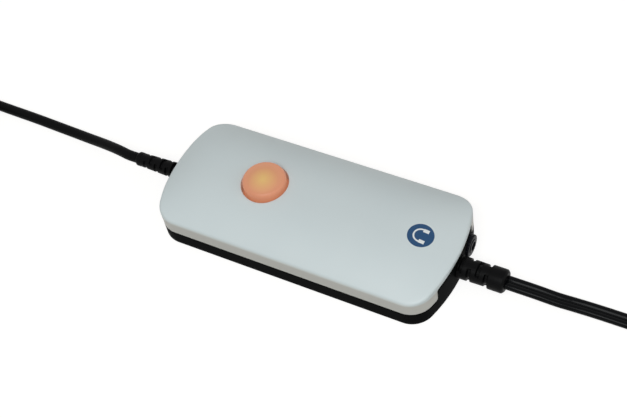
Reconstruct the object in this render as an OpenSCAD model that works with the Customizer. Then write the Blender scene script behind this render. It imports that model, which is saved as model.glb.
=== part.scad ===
// In-line audiometer: a hand-sized casing in the middle of a lead, with one lit button on its crowned top.
// The long side lies along X, the round lead leaves at -X and the flat twin lead at +X.
// Z = 0 is the flat underside.

/* [Casing] */
// Length of the casing, from one bowed end to the other
body_len = 125; // [110:0.5:150]
// Width of the casing
body_w = 54.5; // [50:0.5:64]
// Plan radius of the bowed ends
end_r = 70; // [60:1:120]
// Plan radius of the four corners
corner_r = 9.8; // [9:0.1:14]
// Height of the line where the two halves meet
split_z = 7.9; // [7:0.1:9.5]
// Height of the top half's skirt above that line
skirt_h = 5.4; // [4:0.1:8]
// Rounding between the skirt and the top face
edge_r = 0.95; // [0.5:0.05:1.5]
// Rise of the crown in the middle of the top face
crown_mid = 7.8; // [6.5:0.1:9]
// Rise of the crown at the two ends
crown_end = 2.5; // [1:0.1:3.5]
// Wall thickness of both halves
wall = 2; // [1.6:0.1:2.4]
// Rounding under the bottom half
base_r = 1.5; // [0.5:0.1:2]
// Height of the tongue that keeps the halves in line
tongue_h = 1.5; // [0.8:0.1:2]
// Clearance between the halves at the tongue and the end panels
shell_gap = 0.15; // [0.1:0.01:0.3]

/* [End panels] */
// Width of each end panel
panel_w = 32.6; // [31:0.1:36]
// Thickness of the top half's lip over a panel
lip_t = 1.7; // [1.2:0.1:2.2]
// Height of the lead exits above the underside
lead_z = 8.5; // [7.5:0.1:9]

/* [Button] */
// Distance of the button behind the middle of the casing
button_back = 20.5; // [15:0.5:25]
// Diameter of the cap
cap_d = 17.6; // [16:0.1:19]
// Gap round the cap
cap_gap = 0.85; // [0.4:0.05:1]
// How far the rim of the cap stands above the crown
cap_proud = 2.8; // [1:0.1:3.2]
// Rise of the cap's dome from rim to middle
cap_dome = 1.2; // [0.6:0.1:2]
// Wall thickness of the cap
cap_wall = 1.4; // [1:0.1:1.8]
// Travel of the button
button_travel = 0.8; // [0.4:0.05:1]

/* [Circuit board] */
// Distance from each end of the board to the tabs of the response socket
board_end_gap = 1.3; // [1:0.05:2]
// Distance from each long side of the board to the wall
board_side_gap = 3.25; // [2.75:0.05:4]
// Thickness of the board
board_t = 1.6; // [1:0.1:2]
// Height of the board's underside
board_z = 5; // [4.2:0.1:5.4]

/* [Screws] */
// Distance of the case screws from the ends of the casing
case_screw_end = 9.5; // [9.1:0.1:9.9]
// Distance of the case screws from the long sides of the casing
case_screw_side = 6.95; // [6.65:0.05:7.25]
// Thread diameter of the case screws
case_screw_d = 2.4; // [2:0.1:2.6]
// Distance of the board screws from the ends of the board
board_screw_end = 5; // [4:0.5:6]
// Distance of the board screws from the long sides of the board
board_screw_side = 4; // [3.6:0.1:4.5]
// Thread diameter of the board screws
board_screw_d = 1.9; // [1.6:0.1:2]

/* [Response socket] */
// Height of the socket's axis
socket_z = 7.8; // [7.4:0.1:8.2]
// Bore of the socket, for a 3.5 mm plug
socket_bore_d = 3.6; // [3.52:0.01:3.8]
// Depth of the bore
socket_bore_depth = 12.4; // [11:0.1:12.6]
// Diameter of the round nut
socket_nut_d = 9; // [8:0.1:9.4]

/* [Leads] */
// Diameter of the round lead
usb_lead_d = 4.5; // [4:0.1:4.6]
// Width of the flat twin lead
twin_w = 6; // [5:0.1:6.2]
// Thickness of the flat twin lead
twin_t = 3; // [2.6:0.1:3.2]
// Length of the round lead's relief outside the casing
usb_relief_len = 22; // [18:0.5:26]
// Length of the twin lead's relief outside the casing
twin_relief_len = 19; // [17:0.5:22]
// Diameter of the round lead's relief at the casing
usb_relief_d = 7.2; // [6.6:0.1:8]
// Diameter of the round lead's relief at its tip
usb_relief_tip_d = 5.8; // [5.4:0.1:6.4]
// Diameter of the twin lead's relief
twin_relief_d = 9.2; // [8.4:0.1:9.6]
// Diameter of the neck that fills the hole in a panel
relief_neck_d = 6; // [5:0.1:6.4]
// Distance between the slots of the round lead's relief
usb_slot_pitch = 2.7; // [2.4:0.1:3]
// Distance between the slots of the twin lead's relief
twin_slot_pitch = 3.45; // [2.6:0.05:3.5]
// Width of one slot
slot_w = 1.3; // [0.9:0.1:1.5]
// Length of the straight runs in the round lead's hank
usb_run = 80; // [76:1:90]
// Length of the straight runs in the twin lead's hank
twin_run = 70; // [68:1:80]
// Radius of the round lead's tightest loops
usb_fold_r = 13.5; // [13.5:0.1:15]
// Radius of the twin lead's tightest loops
twin_fold_r = 12.5; // [12.5:0.1:14]
// Clearance between loops lying side by side or on each other
loop_gap = 0.5; // [0.45:0.05:0.6]

/* [Hidden] */
$fn = 48;

// Colours
white = "#d3d9da";
black = "#1b1b1d";
orange = "#ee8f4e";
clear = "#e8e4d8";
metal = "#b9bbbd";
gold = "#c9a24b";
board_green = "#1f5d3a";
chip_black = "#2a2a2d";

half_len = body_len / 2;
half_w = body_w / 2;
case_screw_x = half_len - case_screw_end;
case_screw_y = half_w - case_screw_side;
skirt_top = split_z + skirt_h;
edge_z = skirt_top + edge_r;
top_mid = edge_z + crown_mid;
eps = 0.01;

// ---- plan outline -------------------------------------------------------------------------------

end_steps = 5;
corner_steps = 6;
side_steps = 8;
// Centre and half angle of the corner arc for an outline drawn in by i
function corner_y(i) = half_w - i - max(corner_r - i, 0.5);
function corner_x(i) = half_len - end_r
    + sqrt(pow(end_r - i - max(corner_r - i, 0.5), 2) - pow(corner_y(i), 2));
function end_angle(i) = atan2(corner_y(i), corner_x(i) - half_len + end_r);
// How far the bowed end, drawn in by i, reaches at a distance y from the centre line
function end_x(i, y) = half_len - end_r + sqrt(pow(end_r - i, 2) - y * y);

// Points of one quarter, from the middle of the +X end to the middle of the long side
function quarter(i) = let (a = end_angle(i), r = max(corner_r - i, 0.5)) [
    for (k = [0 : end_steps]) let (t = a * k / end_steps)
        [half_len - end_r + (end_r - i) * cos(t), (end_r - i) * sin(t)],
    for (k = [1 : corner_steps]) let (t = a + (90 - a) * k / corner_steps)
        [corner_x(i) + r * cos(t), corner_y(i) + r * sin(t)],
    for (k = [1 : side_steps / 2]) [corner_x(i) * (1 - 2 * k / side_steps), half_w - i]];
// Upper half of the outline, from the +X end over +Y to the -X end
function upper_half(i) = let (q = quarter(i), n = len(q)) concat(q,
    [for (k = [n - 2 : -1 : 0]) [-q[k].x, q[k].y]]);
function outline(i) = let (u = upper_half(i), n = len(u)) concat(u,
    [for (k = [n - 2 : -1 : 1]) [u[k].x, -u[k].y]]);

// ---- crowned top --------------------------------------------------------------------------------

crown_power = 2.5;
end_power = 6;
// Rise of the top face above its edge, highest along the centre line and lower towards the ends
function rise(p) = crown_mid * max(0, 1 - pow(abs(p.y) / half_w, crown_power))
    * (1 - (1 - crown_end / crown_mid) * pow(min(1, abs(p.x) / half_len), end_power));
function crown_z(x, y) = edge_z + rise([x, y]);

// Two triangles between neighbouring points a, b of one row and d, c of the next
function quad(a, b, c, d) = [[a, b, c], [a, c, d]];
function flat(l) = [for (a = l) each a];

across = 12;
edge_steps = 3;

// Solid with the plan outline and the crowned top: drawn in by i, from z_low up to drop below the top face
module crowned_solid(i, z_low, drop, rounded) {
    rows = rounded
        ? concat([[i, z_low, 0]], [for (k = [0 : edge_steps]) let (a = 90 * k / edge_steps)
            [i + edge_r * (1 - cos(a)), skirt_top + edge_r * sin(a), 1]])
        : [[i, z_low, 0], [i, edge_z - drop, 1]];
    rings = [for (r = rows) [for (p = outline(r[0])) [p.x, p.y, r[1] + r[2] * rise(p)]]];
    n = len(rings[0]);
    top_ring = (len(rows) - 1) * n;
    half = n / 2;
    u = upper_half(rows[len(rows) - 1][0]);
    z_edge = rows[len(rows) - 1][1];
    inner = [for (k = [1 : half - 1]) for (j = [1 : across - 1])
        let (p = [u[k].x, u[k].y * (1 - 2 * j / across)]) [p.x, p.y, z_edge + rise(p)]];
    first_inner = len(rows) * n;
    // Index of the point j steps across at station k; both edges belong to the last ring
    function at(k, j) = (j == 0 || k == 0 || k == half) ? top_ring + k
        : j == across ? top_ring + n - k
        : first_inner + (k - 1) * (across - 1) + j - 1;
    sides = [for (r = [0 : len(rows) - 2]) for (k = [0 : n - 1]) let (m = (k + 1) % n)
        each quad(r * n + k, r * n + m, (r + 1) * n + m, (r + 1) * n + k)];
    cap = [for (k = [0 : half - 1]) for (j = [0 : across - 1])
        for (t = quad(at(k, j), at(k + 1, j), at(k + 1, j + 1), at(k, j + 1)))
            if (t[0] != t[1] && t[1] != t[2] && t[0] != t[2]) t];
    points = concat(flat(rings), inner);
    faces = concat([[for (k = [n - 1 : -1 : 0]) k]], sides, cap);
    // Faces are listed clockwise when seen from outside
    polyhedron(points, [for (f = faces) [for (k = [len(f) - 1 : -1 : 0]) f[k]]]);
}

// Straight-walled solid with the plan outline
module outline_prism(i, z_low, z_high) {
    translate([0, 0, z_low]) linear_extrude(z_high - z_low) polygon(outline(i));
}

module outline_ring(i_out, i_in, z_low, z_high) {
    difference() {
        outline_prism(i_out, z_low, z_high);
        outline_prism(i_in, z_low - eps, z_high + eps);
    }
}

// Stack of outlines, each row an inset and a height
module stacked(rows) {
    n = len(outline(0));
    points = flat([for (r = rows) [for (p = outline(r[0])) [p.x, p.y, r[1]]]]);
    last = (len(rows) - 1) * n;
    sides = [for (r = [0 : len(rows) - 2]) for (k = [0 : n - 1]) let (m = (k + 1) % n)
        each quad(r * n + k, r * n + m, (r + 1) * n + m, (r + 1) * n + k)];
    faces = concat([[for (k = [n - 1 : -1 : 0]) k]], sides, [[for (k = [0 : n - 1]) last + k]]);
    polyhedron(points, [for (f = faces) [for (k = [len(f) - 1 : -1 : 0]) f[k]]]);
}

// ---- end panels ---------------------------------------------------------------------------------

floor_t = wall;
// The underside of the lip is an arc that follows the crown at the ends
arch_r = (pow(half_w, 2) + pow(crown_end, 2)) / (2 * crown_end);
arch_top = edge_z + crown_end - lip_t;
notch_w = panel_w + 2 * shell_gap;
// Where an end zone starts, inboard of the panel's inner face at its narrow ends
zone_x = end_x(wall, notch_w / 2) - 0.6;

// Block over an end, under the lip's arc, lowered by gap
module end_zone(w, z_low, gap) {
    intersection() {
        translate([zone_x, -w / 2, z_low]) cube([half_len + 2 - zone_x, w, arch_top + 5 - z_low]);
        translate([zone_x - 1, 0, arch_top - gap - arch_r]) rotate([0, 90, 0])
            cylinder(r = arch_r, h = half_len + 4 - zone_x, $fn = 180);
    }
}

module both_ends() {
    children();
    mirror([1, 0, 0]) children();
}

module four(x, y) {
    for (sx = [-1, 1]) for (sy = [-1, 1]) translate([sx * x, sy * y, 0]) children();
}

// ---- places of the socket and the board ---------------------------------------------------------

spot_gap = 0.5;
relief_flange_r = usb_relief_d / 2 + 1;
boss_r = 3.1;
// The socket lies midway between the relief and the boss of a case screw
socket_y = (relief_flange_r + case_screw_y - boss_r) / 2;
// Flat seat for the nut, cut into the bowed panel, and the flat inner face of the pad behind it
seat_x = end_x(0, socket_y + socket_nut_d / 2 + spot_gap) - 0.1;
pad_x = seat_x - wall;
socket_len = 8.5;
tab_l = 2.2;
tab_end_x = pad_x - socket_len - tab_l;
// The board lies between the tabs and as far from the other end of the casing
board_half = tab_end_x - board_end_gap;
board_half_w = half_w - wall - board_side_gap;
board_screw_x = board_half - board_screw_end;
board_screw_y = board_half_w - board_screw_side;

// ---- heights of the board, the switch and the cap -----------------------------------------------

button_x = -button_back;
hole_r = cap_d / 2 + cap_gap;
board_top = board_z + board_t;
switch_w = 12;
switch_h = 4;
switch_top = board_top + switch_h;
well_depth = 2.2;
plunger_r = 3;
plunger_bore_r = 2;
plunger_gap = 0.15;
plunger_top = switch_top + 3.2;
plunger_low = switch_top - well_depth + button_travel + 0.2;
led_r = 1.4;
stem_r = 5.2;
stem_z = plunger_top + 0.1;
// The lamp stays clear of the stem when the button is down
led_top = stem_z - button_travel - 0.3;
flange_z = stem_z + 1;
rim_z = crown_z(button_x, 0) + cap_proud;
rim_round = 1.6;
cap_r = cap_d / 2;
// Radius of the sphere that makes the dome, from its rise over the flat part of the rim
dome_edge_r = cap_r - rim_round;
dome_r = (pow(dome_edge_r, 2) + pow(cap_dome, 2)) / (2 * cap_dome);

// ---- casing -------------------------------------------------------------------------------------

guide_wall = 1.6;
// Lowest point of the face round the hole, which the guide ring stays under
guide_top = crown_z(button_x, hole_r + guide_wall) - wall / 2;
flange_over = 0.8;
flange_t = 1;
stop_gap = 0.2;
guide_bottom = flange_z + flange_t + stop_gap;

thread_gap = 0.05;
boss_hole_r = case_screw_d / 2 + 0.2;
head_r = case_screw_d / 2 + 1.1;
head_h = 1.6;
head_gap = 0.2;
head_seat = 2.2;
case_screw_len = 9;
case_screw_tip = head_seat + case_screw_len;
boss_top = crown_z(case_screw_x, case_screw_y) - wall / 2;

module top_shell() {
    color(white) difference() {
        union() {
            difference() {
                crowned_solid(0, split_z, 0, true);
                crowned_solid(wall, split_z - 1, wall, false);
                outline_prism(wall / 2, split_z - 1, split_z + tongue_h + shell_gap);
            }
            translate([button_x, 0, guide_bottom])
                cylinder(r = hole_r + guide_wall, h = guide_top - guide_bottom, $fn = 64);
            four(case_screw_x, case_screw_y) translate([0, 0, split_z])
                cylinder(r = boss_r, h = boss_top - split_z, $fn = 32);
        }
        translate([button_x, 0, split_z]) cylinder(r = hole_r, h = top_mid, $fn = 96);
        both_ends() end_zone(notch_w, split_z - 1, 0);
        four(case_screw_x, case_screw_y) translate([0, 0, split_z - 1])
            cylinder(r = case_screw_d / 2 + thread_gap, h = case_screw_tip - split_z + 2, $fn = 32);
    }
}

neck_gap = 0.1;
socket_hole_gap = 0.1;
socket_bush_d = 6;
pad_w = socket_nut_d + 1.2;
board_boss_r = 2.6;
board_screw_len = 4;
board_head_h = 1.2;

module bottom_shell() {
    color(black) difference() {
        union() {
            difference() {
                stacked(concat([for (k = [edge_steps : -1 : 1]) let (a = 90 * k / edge_steps)
                    [base_r * (1 - cos(a)), base_r * (1 - sin(a))]], [[0, base_r], [0, split_z]]));
                outline_prism(wall, floor_t, split_z + 1);
            }
            outline_ring(wall / 2 + shell_gap, wall, split_z - 1, split_z + tongue_h);
            both_ends() intersection() {
                outline_ring(0, wall, split_z - 1, arch_top);
                end_zone(panel_w, split_z - 1, shell_gap);
            }
            socket_pad();
            four(case_screw_x, case_screw_y) cylinder(r = boss_r, h = split_z, $fn = 32);
            four(board_screw_x, board_screw_y) translate([0, 0, floor_t - eps])
                cylinder(r = board_boss_r, h = board_z - floor_t + eps, $fn = 32);
        }
        both_ends() translate([end_x(wall, 0) - 2, 0, lead_z]) rotate([0, 90, 0])
            cylinder(r = relief_neck_d / 2 + neck_gap, h = wall + 5, $fn = 32);
        translate([pad_x - 1, socket_y, socket_z]) rotate([0, 90, 0])
            cylinder(r = socket_bush_d / 2 + socket_hole_gap, h = wall + 8, $fn = 32);
        translate([seat_x, socket_y, socket_z]) rotate([0, 90, 0])
            cylinder(r = socket_nut_d / 2 + spot_gap, h = 8, $fn = 48);
        four(case_screw_x, case_screw_y) translate([0, 0, -1]) {
            cylinder(r = boss_hole_r, h = split_z + 3, $fn = 32);
            cylinder(r = head_r + head_gap, h = head_seat + 1, $fn = 32);
        }
        four(board_screw_x, board_screw_y) translate([0, 0, floor_t])
            cylinder(r = board_screw_d / 2 + thread_gap, h = board_z, $fn = 24);
    }
}

// Thickening behind the bowed panel, so that the socket's body has a flat face to seat on
module socket_pad() {
    intersection() {
        translate([pad_x, socket_y - pad_w / 2, floor_t - 1])
            cube([half_len - pad_x, pad_w, socket_z + pad_w / 2 - floor_t + 1]);
        outline_prism(wall / 2, floor_t - 1, arch_top);
    }
}

module case_screws() {
    color(metal) four(case_screw_x, case_screw_y) difference() {
        union() {
            translate([0, 0, head_seat - head_h]) cylinder(r = head_r, h = head_h, $fn = 32);
            translate([0, 0, head_seat - eps]) cylinder(d = case_screw_d, h = case_screw_len, $fn = 32);
        }
        translate([0, 0, head_seat - head_h - 1]) cross_recess(case_screw_d * 0.9, 2);
    }
}

module board_screws() {
    color(metal) four(board_screw_x, board_screw_y) difference() {
        union() {
            translate([0, 0, board_top]) cylinder(r = board_screw_d, h = board_head_h, $fn = 32);
            translate([0, 0, board_top - board_screw_len])
                cylinder(d = board_screw_d, h = board_screw_len + eps, $fn = 24);
        }
        translate([0, 0, board_top + board_head_h - 0.7]) cross_recess(board_screw_d * 0.8, 1);
    }
}

// Cross-shaped driver recess
module cross_recess(w, h) {
    translate([-w / 2, -w / 8, 0]) cube([w, w / 4, h]);
    translate([-w / 8, -w / 2, 0]) cube([w / 4, w, h]);
}

// ---- button and switch --------------------------------------------------------------------------

// Outline of the cap from its middle out, offset inwards by i; z_low closes it below
function cap_profile(i, z_low) = concat(
    [[0, z_low]], [[cap_r - i, z_low]],
    [for (k = [0 : 4]) let (a = 90 * k / 4)
        [dome_edge_r + (rim_round - i) * cos(a), rim_z - rim_round + (rim_round - i) * sin(a)]],
    [for (k = [4 : -1 : 0]) let (x = dome_edge_r * k / 5)
        [x, rim_z - i + sqrt(pow(dome_r, 2) - x * x) - dome_r + cap_dome]]);

module response_button() {
    color(orange) translate([button_x, 0, 0]) union() {
        difference() {
            rotate_extrude($fn = 64) polygon(cap_profile(0, flange_z));
            rotate_extrude($fn = 64) polygon([
                [0, flange_z - 1], [cap_r - cap_wall, flange_z - 1], [cap_r - cap_wall, rim_z - cap_wall],
                [0, rim_z - cap_wall]]);
        }
        difference() {
            translate([0, 0, flange_z]) cylinder(r = hole_r + flange_over, h = flange_t, $fn = 64);
            translate([0, 0, flange_z - 1]) cylinder(r = cap_r - cap_wall, h = flange_t + 2, $fn = 64);
        }
        translate([0, 0, stem_z]) cylinder(r = stem_r, h = rim_z - cap_wall + 0.2 - stem_z, $fn = 48);
    }
}

module switch_body() {
    color(chip_black) translate([button_x, 0, 0]) difference() {
        translate([-switch_w / 2, -switch_w / 2, board_top]) cube([switch_w, switch_w, switch_h]);
        translate([0, 0, switch_top - well_depth])
            cylinder(r = plunger_r + plunger_gap, h = well_depth + 1, $fn = 48);
    }
}

module switch_plunger() {
    color(clear) translate([button_x, 0, plunger_low]) difference() {
        cylinder(r = plunger_r, h = plunger_top - plunger_low, $fn = 48);
        translate([0, 0, -1]) cylinder(r = plunger_bore_r, h = plunger_top - plunger_low + 2, $fn = 48);
    }
}

module button_led() {
    led_h = led_top - led_r - switch_top + well_depth;
    color(gold) translate([button_x, 0, switch_top - well_depth]) {
        cylinder(r = led_r, h = led_h, $fn = 32);
        translate([0, 0, led_h]) sphere(r = led_r, $fn = 32);
    }
}

spring_wire_d = 0.44;
spring_r = (plunger_r + stem_r) / 2 + 0.2;
spring_turns = 3;
spring_steps = 12;

module button_spring() {
    rise_h = stem_z - switch_top - spring_wire_d - 0.04;
    n = spring_turns * spring_steps;
    color(metal) tube([for (k = [0 : n]) let (a = 360 * k / spring_steps)
        [button_x + spring_r * cos(a), spring_r * sin(a),
            switch_top + spring_wire_d / 2 + 0.02 + rise_h * k / n]], circle_section(spring_wire_d, 6));
}

// ---- circuit board ------------------------------------------------------------------------------

module main_circuit_board() {
    color(board_green) difference() {
        translate([-board_half, -board_half_w, board_z]) cube([2 * board_half, 2 * board_half_w, board_t]);
        four(board_screw_x, board_screw_y) translate([0, 0, board_z - 1])
            cylinder(d = board_screw_d + 0.5, h = board_t + 2, $fn = 32);
    }
}

foot_l = 0.9;
foot_w = 0.35;
foot_t = 0.2;
body_z = 0.1;

// Flat package with leads on two or four sides, sitting on the board
module chip(x, y, w, d, h, leads_w, leads_d) {
    translate([x, y, board_top]) {
        translate([-w / 2, -d / 2, body_z]) cube([w, d, h - body_z]);
        for (s = [-1, 1]) {
            for (k = [1 : leads_w]) translate([w * (k / (leads_w + 1) - 0.5) - foot_w / 2,
                s * (d / 2 + foot_l / 2 - 0.1) - foot_l / 2, 0]) cube([foot_w, foot_l, foot_t]);
            for (k = [1 : leads_d]) translate([s * (w / 2 + foot_l / 2 - 0.1) - foot_l / 2,
                d * (k / (leads_d + 1) - 0.5) - foot_w / 2, 0]) cube([foot_l, foot_w, foot_t]);
        }
    }
}

controller_x = 10;
controller_y = 2;
controller_w = 10;
controller_h = 1.4;
codec_in = 20;
codec_y = -10;
codec_w = 7;
codec_h = 1.2;
amplifier_in = 14;
amplifier_y = 3;
amplifier_w = 5;
amplifier_d = 6.4;
isolator_in = 12.5;
isolator_y = -13.2;
isolator_w = 7.5;
isolator_d = 10.3;
isolator_h = 2.3;
memory_y = -14;
memory_w = 4;
memory_d = 5;
memory_h = 1.6;

module controller_chip() {
    color(chip_black) chip(controller_x, controller_y, controller_w, controller_w, controller_h, 10, 10);
}

module audio_codec_chip() {
    color(chip_black) chip(board_half - codec_in, codec_y, codec_w, codec_w, codec_h, 7, 7);
}

module headphone_amplifier_chip() {
    color(chip_black)
        chip(board_half - amplifier_in, amplifier_y, amplifier_w, amplifier_d, controller_h, 0, 8);
}

module isolator_chip() {
    color(chip_black) chip(isolator_in - board_half, isolator_y, isolator_w, isolator_d, isolator_h, 0, 8);
}

module memory_chip() {
    color(chip_black) chip(controller_x, memory_y, memory_w, memory_d, memory_h, 0, 4);
}

// Its near side stays clear of the board screw in its corner and of the switch
power_module_in = 8;
power_module_l = 11;
power_module_w = 9.2;
power_module_h = 6;
parts_gap = 1;

module isolated_power_module() {
    color(chip_black) translate([power_module_in - board_half, switch_w / 2 + parts_gap, board_top])
        cube([power_module_l, power_module_w, power_module_h]);
}

crystal_d = 4.6;
crystal_l = 6.6;
crystal_h = 3.5;
crystal_y = 14;

module crystal() {
    color(metal) translate([controller_x - crystal_l / 2, crystal_y, board_top]) {
        for (s = [0, crystal_l]) translate([s, 0, 0]) cylinder(d = crystal_d, h = crystal_h, $fn = 32);
        translate([0, -crystal_d / 2, 0]) cube([crystal_l, crystal_d, crystal_h]);
    }
}

can_d = 6.3;
can_h = 5.4;
can_base_h = 0.9;
can_rim = 0.15;
can_places = [[-5, -15], [-14, -16], [board_half - codec_in, crystal_y]];

module capacitors() {
    base_w = can_d + 2 * can_rim;
    color(metal) for (p = can_places) translate([p.x, p.y, board_top]) {
        translate([-base_w / 2, -base_w / 2, 0]) cube([base_w, base_w, can_base_h]);
        cylinder(d = can_d, h = can_h, $fn = 32);
    }
}

header_h = 6;
header_l = 5;
header_w = 9.5;
header_y = -2;
// The outer face of a header stands back from the board's end
header_out_x = board_half - 1;
header_wires = 4;
header_pitch = 2;
wire_d = 1.1;
wire_pitch = 1.35;

// Wire header on the +X end of the board
module wire_header() {
    translate([header_out_x - header_l, header_y - header_w / 2, board_top])
        cube([header_l, header_w, header_h]);
}

module usb_wire_header() {
    color(clear) mirror([1, 0, 0]) wire_header();
}

module headset_wire_header() {
    color(clear) wire_header();
}

// ---- relief and socket --------------------------------------------------------------------------

relief_flange_t = 2;
// Outer and inner seats of a relief on the bowed panel, at the middle of the end
relief_out_x = half_len + 0.05;
relief_in_x = end_x(wall, relief_flange_r) - 0.05;

// Relief on the +X side: tapered body with crossed slots outside, neck in the panel, flange inside
module relief(root_d, tip_d, collar_d, collar_l, core_d, tip_x, first_slot, pitch, slots) {
    slot_start = relief_out_x + first_slot;
    difference() {
        translate([0, 0, lead_z]) rotate([0, 90, 0]) {
            translate([0, 0, relief_in_x - relief_flange_t])
                cylinder(r = relief_flange_r, h = relief_flange_t, $fn = 40);
            translate([0, 0, relief_in_x - eps])
                cylinder(d = relief_neck_d, h = relief_out_x - relief_in_x + 2 * eps, $fn = 40);
            translate([0, 0, relief_out_x])
                cylinder(d1 = root_d, d2 = tip_d, h = tip_x - relief_out_x - collar_l + eps, $fn = 40);
            translate([0, 0, tip_x - collar_l])
                cylinder(d = collar_d, h = collar_l - 0.8, $fn = 40);
            translate([0, 0, tip_x - 0.8 - eps])
                cylinder(d1 = collar_d, d2 = collar_d - 1.6, h = 0.8 + eps, $fn = 40);
        }
        for (k = [0 : slots - 1]) translate([slot_start + k * pitch, 0, lead_z])
            rotate([k % 2 == 0 ? 0 : 90, 0, 0]) slot_pair(root_d, core_d);
    }
}

// Two slots round the core, above and below, with a web between them on either side
module slot_pair(root_d, core_d) {
    web_w = root_d / 2;
    difference() {
        rotate([0, 90, 0]) cylinder(d = root_d + 2, h = slot_w, $fn = 40);
        translate([-1, 0, 0]) rotate([0, 90, 0]) cylinder(d = core_d, h = slot_w + 2, $fn = 40);
        translate([-1, -root_d, -web_w / 2]) cube([slot_w + 2, 2 * root_d, web_w]);
    }
}

module usb_strain_relief() {
    color(black) mirror([1, 0, 0])
        relief(usb_relief_d, usb_relief_tip_d, usb_relief_tip_d + 0.2, 2.4, usb_lead_d + 0.1,
            half_len + usb_relief_len, 2.6, usb_slot_pitch, 6);
}

module headset_strain_relief() {
    color(black) relief(twin_relief_d, twin_relief_d - 0.5, twin_relief_d + 0.4, 6.4, twin_w + 0.4,
        half_len + twin_relief_len, 0.6, twin_slot_pitch, 4);
}

socket_body_d = 8;
tab_pitch = 2.2;
bush_proud = 2.9;
socket_mouth_x = seat_x + bush_proud;
nut_t = 2.6;

module socket_body() {
    color(black) translate([0, socket_y, socket_z]) rotate([0, 90, 0]) difference() {
        union() {
            translate([0, 0, pad_x - socket_len]) cylinder(d = socket_body_d, h = socket_len, $fn = 48);
            translate([0, 0, pad_x - eps])
                cylinder(d = socket_bush_d, h = socket_mouth_x - pad_x + eps, $fn = 48);
        }
        translate([0, 0, socket_mouth_x - socket_bore_depth])
            cylinder(d = socket_bore_d, h = socket_bore_depth + 1, $fn = 48);
    }
    color(gold) for (k = [-1 : 1])
        translate([pad_x - socket_len - tab_l, socket_y + k * tab_pitch - 0.6, socket_z - 0.2])
            cube([tab_l + eps, 1.2, 0.4]);
}

module socket_nut() {
    flutes = 20;
    color(black) translate([seat_x, socket_y, socket_z]) rotate([0, 90, 0]) difference() {
        cylinder(d = socket_nut_d, h = nut_t, $fn = 48);
        translate([0, 0, -1]) cylinder(d = socket_bush_d + 0.1, h = nut_t + 2, $fn = 48);
        for (k = [0 : flutes - 1]) rotate(360 * k / flutes) translate([socket_nut_d / 2, 0, -1])
            cylinder(d = 0.5, h = nut_t + 2, $fn = 4);
    }
}

// ---- swept tubes --------------------------------------------------------------------------------

function circle_section(d, n) = [for (k = [0 : n - 1]) let (a = 360 * (k + 0.5) / n)
    [d / 2 * cos(a), d / 2 * sin(a)]];
// Flat twin section: two round cores side by side with a shallow valley between them
function twin_section() = let (c = (twin_w - twin_t) / 2, r = twin_t / 2) [
    [0, r * 0.8], [-c, r], [-c - r * 0.75, r * 0.66], [-c - r, 0], [-c - r * 0.75, -r * 0.66], [-c, -r],
    [0, -r * 0.8], [c, -r], [c + r * 0.75, -r * 0.66], [c + r, 0], [c + r * 0.75, r * 0.66], [c, r]];
// The same lead with six sides, for its hank
function twin_hank_section() = let (c = (twin_w - twin_t) / 2, r = twin_t / 2) [
    [c, r], [-c, r], [-c - r, 0], [-c, -r], [c, -r], [c + r, 0]];
function unit(v) = v / norm(v);
function heading(p, k) = unit(k == 0 ? p[1] - p[0] : k == len(p) - 1 ? p[k] - p[k - 1]
    : unit(p[k + 1] - p[k]) + unit(p[k] - p[k - 1]));

// Tube with a flat section swept along points; the section's first axis stays level
module tube(p, section) {
    n = len(section);
    rings = [for (k = [0 : len(p) - 1])
        let (t = heading(p, k), s = unit(cross([0, 0, 1], t)), u = cross(t, s))
        for (c = section) p[k] + s * c.x + u * c.y];
    last = (len(p) - 1) * n;
    sides = [for (k = [0 : len(p) - 2]) for (j = [0 : n - 1]) let (m = (j + 1) % n)
        each quad(k * n + j, k * n + m, (k + 1) * n + m, (k + 1) * n + j)];
    faces = concat([[for (j = [n - 1 : -1 : 0]) j]], sides, [[for (j = [0 : n - 1]) last + j]]);
    polyhedron(rings, [for (f = faces) [for (j = [len(f) - 1 : -1 : 0]) f[j]]]);
}

// Centre line of a hank: long loops with an outer and an inner lane, layer on layer. Its stretches are a
// run at +y, a half turn round the far end, a run back at -y and a half turn round the near end, and so on.
hank_stretches = 18;
run_steps = 4;
arc_steps = 8;
loop_steps = 2 * (run_steps + arc_steps);
// Lane, 0 outside and 1 inside, and layer where stretch n starts
function lane(n) = floor((n + 9) / 6) % 2 == 0 ? 1 : 0;
function layer(n) = max(0, floor((n - 1) / 6));
function eased(t) = t <= 0 ? 0 : t >= 1 ? 1 : 0.5 - cos(180 * t) / 2;
// Point t of the way along stretch n, from the near end's middle: a lane changes in the second half of a
// run and a layer in the first half, so that no two stretches meet
function hank_point(n, t, r_in, pitch, run, layer_h) =
    let (r = r_in + pitch * (1 - lane(n) - (lane(n + 1) - lane(n)) * eased(2 * t - 1)),
        z = layer_h * (layer(n) + (layer(n + 1) - layer(n)) * eased(2 * t)), a = 90 - 180 * t)
    n % 4 == 0 ? [run * t, r, z] : n % 4 == 1 ? [run + r * cos(a), r * sin(a), z]
    : n % 4 == 2 ? [run * (1 - t), -r, z] : [-r * cos(a), -r * sin(a), z];
// Hank from its near end at c towards side, with a straight end of the given length at each end of it
function hank_path(c, side, r_in, pitch, run, layer_h, straight) =
    let (p = [for (n = [0 : hank_stretches - 1]) let (m = n % 2 == 0 ? run_steps : arc_steps)
            for (k = [0 : m - 1]) hank_point(n, k / m, r_in, pitch, run, layer_h)],
        last = hank_point(hank_stretches, 0, r_in, pitch, run, layer_h),
        q = concat([p[0] - [straight, 0, 0]], p, [last, last - [straight, 0, 0]]))
    [for (v = q) c + [side * v.x, v.y, v.z]];
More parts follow.
